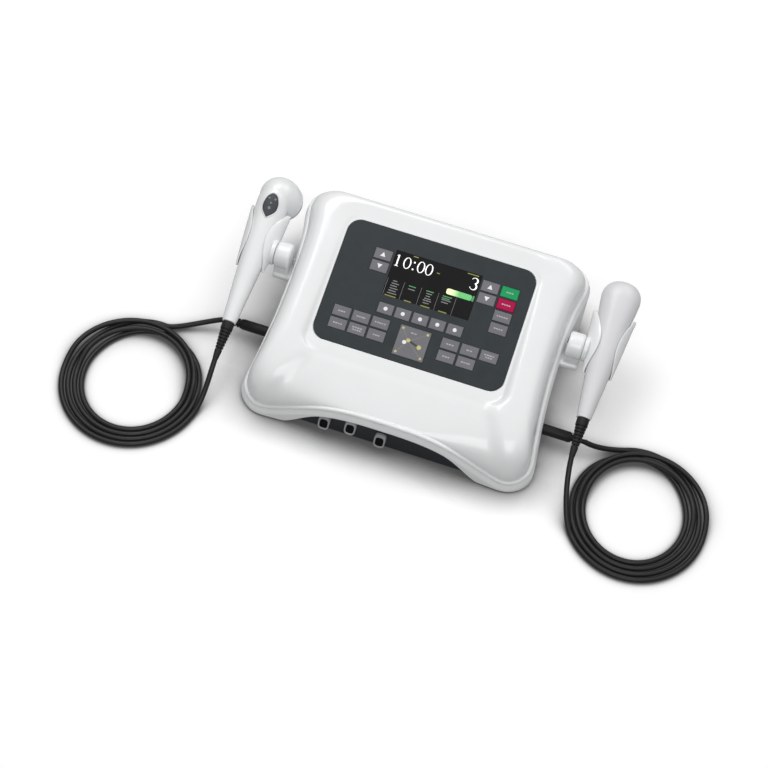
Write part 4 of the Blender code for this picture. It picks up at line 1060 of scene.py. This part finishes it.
# ---- keys and their marks
def key_layout():
    """Name, centre and size of each key on the panel."""
    pitch_x, pitch_y, row = 22.7, 14.8, 41.6
    wide, tall = 20.2, 12.7
    left, right, far = -2.77 * pitch_x, 2.81 * pitch_x, 3.82 * pitch_x
    keys = {
        "key_time_up": (left, row),
        "key_time_down": (left, row - pitch_y),
        "key_level_up": (right, row),
        "key_level_down": (right, row - pitch_y),
        "key_start": (far, row),
        "key_stop": (far, row - pitch_y),
        "key_pause": (far, row - 2 * pitch_y),
        "key_menu": (far, row - 3 * pitch_y),
    }
    for k in range(5):
        keys[f"soft_key_{k + 1}"] = ((k - 2) * 20.3 + 0.5, -18.9)
    for k in range(6):
        keys[f"mode_key_{k + 1}"] = ((-3.78 + k % 3) * pitch_x, (-36.8, -51.6)[k // 3])
    for k in range(5):
        keys[f"preset_key_{k + 1}"] = ((1.82 + k % 3) * pitch_x, (-36.8, -51.6)[k // 3])
    return {name: (u, v, 18.0 if name.startswith("soft") else wide, tall) for name, (u, v) in keys.items()}


def laid_on_panel(shape):
    return on_panel(shape[0]), shape[1]


def flat_mark(outline, low, high):
    """A thin printed mark on the panel from an outline of (u, v) points, between two heights."""
    return laid_on_panel(skin([at_level(outline, low), at_level(outline, high)], caps=True))


def ink(outline, above=KEY_TOP):
    return flat_mark(outline, above - 0.3, above + 0.06)


def disc(u, v, radius, count=28):
    angle = circle(count)
    return np.stack([u + radius * np.cos(angle), v + radius * np.sin(angle)], axis=1)


def bar(u, v, width, height):
    """A small bar with rounded ends."""
    radius = min(width, height) * 0.3
    points = []
    for su, sv, start in ((1, -1, -90), (1, 1, 0), (-1, 1, 90), (-1, -1, 180)):
        for turn in np.radians((start, start + 45, start + 90)):
            du = su * (width / 2 - radius) + radius * math.cos(turn)
            dv = sv * (height / 2 - radius) + radius * math.sin(turn)
            points.append((u + du, v + dv))
    return points


def stroke(a, b, width):
    """A straight line of a given width from a to b."""
    a, b = np.array(a, float), np.array(b, float)
    side = np.array([a[1] - b[1], b[0] - a[0]])
    side *= width / 2 / np.linalg.norm(side)
    return [a - side, b - side, b + side, a + side]


def triangle(u, v, up):
    """An arrowhead that points up the panel, or down it where up is -1."""
    half_w, half_h = 3.0, 2.7 * up
    return [(u - half_w, v - half_h), (u + half_w, v - half_h), (u, v + half_h)]


LEGEND_WIDTHS = (8.5, 10.5, 9.5, 13.5, 7.5, 11.0, 12.5, 12.0, 9.0)


def legend_bars(u, v, index, lines):
    """Plain bars in place of a legend: one or two lines of short segments."""
    shapes = []
    for line in range(lines):
        width = LEGEND_WIDTHS[(index * 2 + line * 3) % len(LEGEND_WIDTHS)]
        level = v + (1.4 - 2.8 * line if lines > 1 else 0.0)
        count = max(int(width / 2.6), 2)
        cell = width / count
        for k in range(count):
            segment = cell * (0.78 + 0.08 * ((index + k) % 3 - 1))
            shapes.append(ink(bar(u - width / 2 + cell * (k + 0.5), level, segment, 1.5)))
    return shapes


def make_key_marks():
    for index, (name, (u, v, _, _)) in enumerate(key_layout().items()):
        if name.endswith("_up"):
            shapes, finish = [ink(triangle(u, v + 0.2, 1))], INK_WHITE
        elif name.endswith("_down"):
            shapes, finish = [ink(triangle(u, v + 0.2, -1))], INK_WHITE
        elif name.startswith("soft"):
            shapes, finish = [ink(disc(u, v, 2.3, 36))], INK_WHITE
        else:
            lines = 2 if name in ("mode_key_5", "preset_key_3") else 1
            shapes, finish = legend_bars(u, v, index, lines), INK_PALE
        piece(f"{name}_mark", joined(shapes), finish, f"{name}_body")


def make_target_marks():
    """The square key: a dot in each corner, thin diagonals, and a spot with two markers in the middle."""
    u, v, reach = 0.3, -48.3, 14.4
    corners = [(u + du, v + dv) for dv in (reach, -reach) for du in (-reach, reach)]
    left, top, right = (u - 8.4, v - 1.2), (u - 4.6, v + 2.0), (u + 9.2, v - 2.4)
    lines = [ink(stroke(corner, (u - 4.2, v + 1.0), 0.35)) for corner in corners]
    body = "key_target_body"
    piece("key_target_lines", joined(lines), INK_LINE, body)
    piece("key_target_link", ink(stroke(top, right, 2.2), KEY_TOP + 0.03), INK_DARK, body)
    dots = [ink(disc(*corner, 1.5), KEY_TOP + 0.06) for corner in corners]
    dots += [ink(disc(*top, 2.4), KEY_TOP + 0.08), ink(disc(*right, 2.6), KEY_TOP + 0.08)]
    piece("key_target_dots", joined(dots), INK_YELLOW, body)
    piece("key_target_spot", ink(disc(*left, 2.3), KEY_TOP + 0.1), INK_WHITE, body)
    piece("key_target_legend", joined(legend_bars(u - 1.0, v + 11.4, 2, 1)), INK_PALE, body)


# ---- display
GLASS_TOP = -0.1
MARK_LOW, MARK_HIGH = -0.2, 0.05  # a lit mark's underside and top, from the glass


def glow(outline, level=0.0):
    return flat_mark(outline, GLASS_TOP + MARK_LOW, GLASS_TOP + MARK_HIGH + level)


def show(name, shapes, finish):
    """A group of lit marks on the display."""
    piece(f"display_{name}", joined(shapes), finish, "console")


def zero(u, v, width, height):
    """The digit 0: an oval ring, heavier at its sides."""
    angle = circle(48)
    outer = np.stack([width / 2 * np.cos(angle), height / 2 * np.sin(angle)], axis=1)
    inner = np.stack([(width / 2 - 1.4) * np.cos(angle), (height / 2 - 0.7) * np.sin(angle)], axis=1)
    edges = ((inner, MARK_LOW), (outer, MARK_LOW), (outer, MARK_HIGH), (inner, MARK_HIGH))
    rows = [at_level(ring + (u, v), GLASS_TOP + level) for ring, level in edges]
    return laid_on_panel(skin(rows, wrap=True))


def one(u, v, height):
    """The digit 1: a stem with a foot and a small flag."""
    stem = bar(u, v, 1.7, height)
    foot = bar(u, v - height / 2 + 0.3, 4.4, 0.6)
    top = v + height / 2
    flag = [(u - 0.8, top - 1.2), (u - 0.8, top - 0.1), (u - 2.4, top - 1.5)]
    return [glow(stem), glow(foot, 0.01), glow(flag, 0.01)]


def three(u, v, width, height):
    """The digit 3: two open bowls drawn with a pen that swells on the right."""
    top, low = height * 0.24, -height * 0.26
    path = []
    for turn in np.radians(np.linspace(160, -75, 22)):
        path.append((width * 0.40 * math.cos(turn), top + height * 0.25 * math.sin(turn)))
    for turn in np.radians(np.linspace(75, -160, 24)):
        path.append((width * 0.44 * math.cos(turn), low + height * 0.27 * math.sin(turn)))
    path = np.array(path)
    along = np.gradient(path, axis=0)
    along /= np.linalg.norm(along, axis=1, keepdims=True)
    side = np.stack([-along[:, 1], along[:, 0]], axis=1)
    half = 0.35 + 0.6 * np.clip(np.abs(along[:, 1]) * np.sign(path[:, 0]), 0.0, 1.0)
    place, reach = path + (u, v), side * half[:, None]
    edges = ((1, MARK_LOW), (1, MARK_HIGH), (-1, MARK_HIGH), (-1, MARK_LOW))
    rows = [at_level(place + reach * offset, GLASS_TOP + level) for offset, level in edges]
    return laid_on_panel(skin(np.stack(rows, axis=1), caps=True))


def make_display_digits():
    level, tall = 40.2, 13.8
    shapes = [*one(-45.2, level, tall)]
    for u in (-33.9, -17.6, -8.0):
        shapes.append(zero(u, level, 8.8, tall))
    shapes += [glow(disc(-26.0, level + 3.2, 1.05)), glow(disc(-26.0, level - 5.2, 1.05))]
    shapes.append(three(45.0, level, 8.6, tall))
    show("digits", shapes, LIT_WHITE)


TEXT_H, TEXT_STEP = 1.1, 3.0


def text_lines(u, v, widths, step=TEXT_STEP):
    """Short bars in place of lines of text, down from v."""
    shapes = []
    for k, width in enumerate(widths):
        shapes.append(glow(bar(u + 0.6 * math.sin(3 * k + u), v - step * k, width, TEXT_H)))
    return shapes


# the display's rows of small text: for each colour, blocks of (u, v, bar widths)
MENU = (
    ("menu_text", LIT_TEXT, (
        (-39.6, 15.6, (5.2, 8.6, 7.8, 9.4, 8.8, 11.0)), (-19.4, 11.6, (8.2,)), (0.6, 12.8, (6.8, 5.2, 7.4)),
        (0.6, 4.4, (9.8, 7.0)), (20.8, 11.4, (10.6, 8.0)),
    )),
    ("menu_green", LIT_GREEN, (
        (-19.4, 15.2, (8.4,)), (0.6, 15.8, (8.8,)), (20.8, 15.8, (10.8, 9.2), 2.4),
    )),
    ("menu_yellow", LIT_YELLOW, (
        (-39.6, -2.8, (13.0,)), (-19.4, -2.8, (8.4,)), (0.6, -2.8, (10.8,)), (20.8, -2.8, (9.8,)),
        (-26.0, 50.2, (6.0,)), (41.6, 50.0, (13.4,)), (3.2, 39.4, (3.6,)),
    )),
)


def make_display_menu():
    """The lower strip: five columns with thin dividers, and lines of plain bars."""
    columns = (-48.9, -29.4, -9.2, 11.1, 31.3)
    show("dividers", [glow(stroke((u, 17.6), (u, -3.6), 0.35)) for u in columns], LIT_DIM)
    for name, finish, blocks in MENU:
        show(name, [mark for block in blocks for mark in text_lines(*block)], finish)


def make_level_bar():
    show("level_bar", [glow(bar(33.0, 22.7, 29.6, 6.8))], bar_glow())
    show("level_end", [glow(bar(49.3, 22.7, 2.2, 6.8))], LIT_GREEN)


# ---- CAD nodes that stay
DRESSED = (
    ("panel_overlay", FILM, 0.25), ("display_module", GLASS, 0.2), ("chassis_tray", CHARCOAL, 0.5),
    ("front_panel", CHARCOAL, 0.4), ("main_board", BOARD, 0.15), ("ultrasound_driver", BOARD, 0.3),
    ("power_supply", CAGE, 0.4), ("power_inlet", RUBBER, 0.4), ("power_switch", RUBBER, 0.4),
)


def dress_node(name, finish, width, segments=2):
    """Gives a CAD node its finish and softened edges."""
    node = frame["nodes"][name]
    node.data.materials.clear()
    node.data.materials.append(finish)
    step = node.modifiers.new("soft_edges", "BEVEL")
    step.width = width * MM
    step.segments = segments
    step.limit_method = "ANGLE"
    step.angle_limit = math.radians(30)
    step.harden_normals = False


def dress_nodes():
    for name, finish, width in DRESSED:
        dress_node(name, finish, width)
    for where in ("front_left", "front_right", "back_left", "back_right"):
        dress_node(f"foot_{where}", RUBBER, 0.8, 3)
    finishes = {"key_start": KEY_GREEN, "key_stop": KEY_RED}
    for name in [*key_layout(), "key_target"]:
        dress_node(name, finishes.get(name, KEY_GREY), 0.3, 3)


# ---- stage
CAMERA_PLACE = (193.2, -1089.7, 1716.7)
CAMERA_TURN = (31.9214, -4.1067, 18.0775)  # degrees about X, Y and Z, from looking straight down
CAMERA_LENS, CAMERA_SENSOR = 82.6, 36.0
FLOOR_HALF = 9000.0
FLOOR_LIFT = 0.05  # how much the pale sweep glows to the camera alone
FLOOR_BOUNCE = (0.52, 0.52, 0.52)  # the sweep's colour for light on its way to the console
CONTACT_SHADE = (0.08, 0.08, 0.078)  # painted contact shadow: the floor's colour where it is most closed in
CONTACT_REACH = 45.0  # how far out the painted contact shadows reach
BACKDROP = 0.95  # how bright the studio looks to the camera itself
# each light's name, place, aim and size in metres, and power in watts
LIGHTS = (
    ("key", (-0.6, 0.7, 1.8), (0, 0, 0), (1.1, 0.8), 12.0),
    ("rear", (0.6, 1.2, 1.4), (0, 0, 0.05), (1.0, 0.7), 4.5),
    ("front", (0.35, -1.2, 1.6), (0, -0.1, 0), (1.2, 0.8), 8.4),
)


def make_camera():
    """The camera looks down at the console from the front and a little from its right."""
    data = bpy.data.cameras.new("camera")
    data.sensor_width = CAMERA_SENSOR
    data.lens = CAMERA_LENS
    data.clip_end = 20.0
    camera = linked("camera", data)
    camera.location = to_row(CAMERA_PLACE)
    camera.rotation_euler = [math.radians(angle) for angle in CAMERA_TURN]
    bpy.context.scene.camera = camera


def make_floor():
    corners = [(x * FLOOR_HALF, y * FLOOR_HALF, 0.0) for x, y in ((-1, -1), (1, -1), (1, 1), (-1, 1))]
    floor = piece("floor", (np.array(corners), [(0, 1, 2, 3)]), make_floor_finish())


def area_light(name, place, aim, size, power):
    data = bpy.data.lights.new(name, "AREA")
    data.shape = "RECTANGLE"
    data.size, data.size_y = size
    data.energy = power
    lamp = linked(name, data)
    lamp.location = place
    lamp.rotation_euler = (Vector(aim) - Vector(place)).to_track_quat("-Z", "Y").to_euler()


def make_world():
    """A pale studio: bright above, dimmer towards the horizon, and evenly pale where the camera sees it."""
    world = bpy.data.worlds.new("studio")
    bpy.context.scene.world = world
    world.use_nodes = True
    tree = world.node_tree
    background = tree.nodes["Background"]
    split = tree.nodes.new("ShaderNodeSeparateXYZ")
    tree.links.new(tree.nodes.new("ShaderNodeTexCoord").outputs["Generated"], split.inputs[0])
    strength = remap(tree, split.outputs["Z"], 0.06, 0.80, 0.36, 0.82)
    seen = tree.nodes.new("ShaderNodeLightPath").outputs["Is Camera Ray"]
    choice = tree.nodes.new("ShaderNodeMix")
    tree.links.new(seen, choice.inputs["Factor"])
    tree.links.new(strength, choice.inputs["A"])
    choice.inputs["B"].default_value = BACKDROP
    tree.links.new(choice.outputs["Result"], background.inputs["Strength"])
    background.inputs["Color"].default_value = (1.0, 1.0, 1.0, 1.0)


def make_floor_finish():
    """A pale sweep that sends less light back up at the console than the camera sees, with contact shadows
    painted into its colour near things on it.
    """
    made = surface("pale_floor", (1.0, 1.0, 1.0), 0.6, mottle=2.0, spread=0.004, relief=0.0, specular=0.1)
    tree = made.node_tree
    shader = tree.nodes["Principled BSDF"]
    seen = tree.nodes.new("ShaderNodeLightPath").outputs["Is Camera Ray"]
    base = shader.inputs["Base Color"].links[0].from_socket
    # painted contact shadow: where ambient occlusion finds the floor closed in, its colour darkens towards
    # CONTACT_SHADE
    nearby = tree.nodes.new("ShaderNodeAmbientOcclusion")
    nearby.samples = 16
    nearby.inputs["Distance"].default_value = CONTACT_REACH * MM
    open_share = remap(tree, nearby.outputs["AO"], 0.0, 1.0, 0.46, 0.97)
    lit = mix_colours(tree, open_share, CONTACT_SHADE, base)
    tree.links.new(mix_colours(tree, seen, FLOOR_BOUNCE, lit), shader.inputs["Base Color"])
    shader.inputs["Emission Color"].default_value = (1.0, 1.0, 1.0, 1.0)
    tree.links.new(remap(tree, seen, 0.0, FLOOR_LIFT, 0.0, 1.0), shader.inputs["Emission Strength"])
    return made


def make_stage():
    make_floor()
    make_world()
    for name, place, aim, size, power in LIGHTS:
        area_light(name, place, aim, size, power)
    make_camera()
    view = bpy.context.scene.view_settings
    view.view_transform = "Standard"
    view.look = "None"


# ---- assembly
# each side: which way it lies, its name, its handset, and the handset's sections and shift along the cradle
SIDES = (
    (-1, "left", "applicator", APPLICATOR_SECTIONS, 0.0),
    (1, "right", "probe", PROBE_SECTIONS, PROBE_SHIFT),
)


def main():
    make_top_shell()
    make_lower_shell()
    for side, hand, *_ in SIDES:
        make_arm(side, f"arm_{hand}")
    for side, hand, _, sections, shift in SIDES:
        make_cradle(side, f"cradle_{hand}", sections, shift, f"{hand}_cradle")
    make_applicator()
    make_probe()
    for side, _, handset, _, shift in SIDES:
        make_boot(f"{handset}_strain_relief", side, shift, handset)
    for side, hand, *_ in SIDES:
        make_socket(side, f"socket_{hand}")
    for side, hand, *_ in SIDES:
        make_plug(side, f"plug_{hand}", f"{hand}_plug")
    for side, hand, handset, _, shift in SIDES:
        make_lead(side, f"lead_{hand}", shift)
    for node, x, z in JACKS:
        make_jack(node, x, z)
    make_key_marks()
    make_target_marks()
    make_display_digits()
    make_display_menu()
    make_level_bar()
    dress_nodes()
    make_stage()


def plain(box):
    return [[float(number) for number in corner] for corner in box]


main()
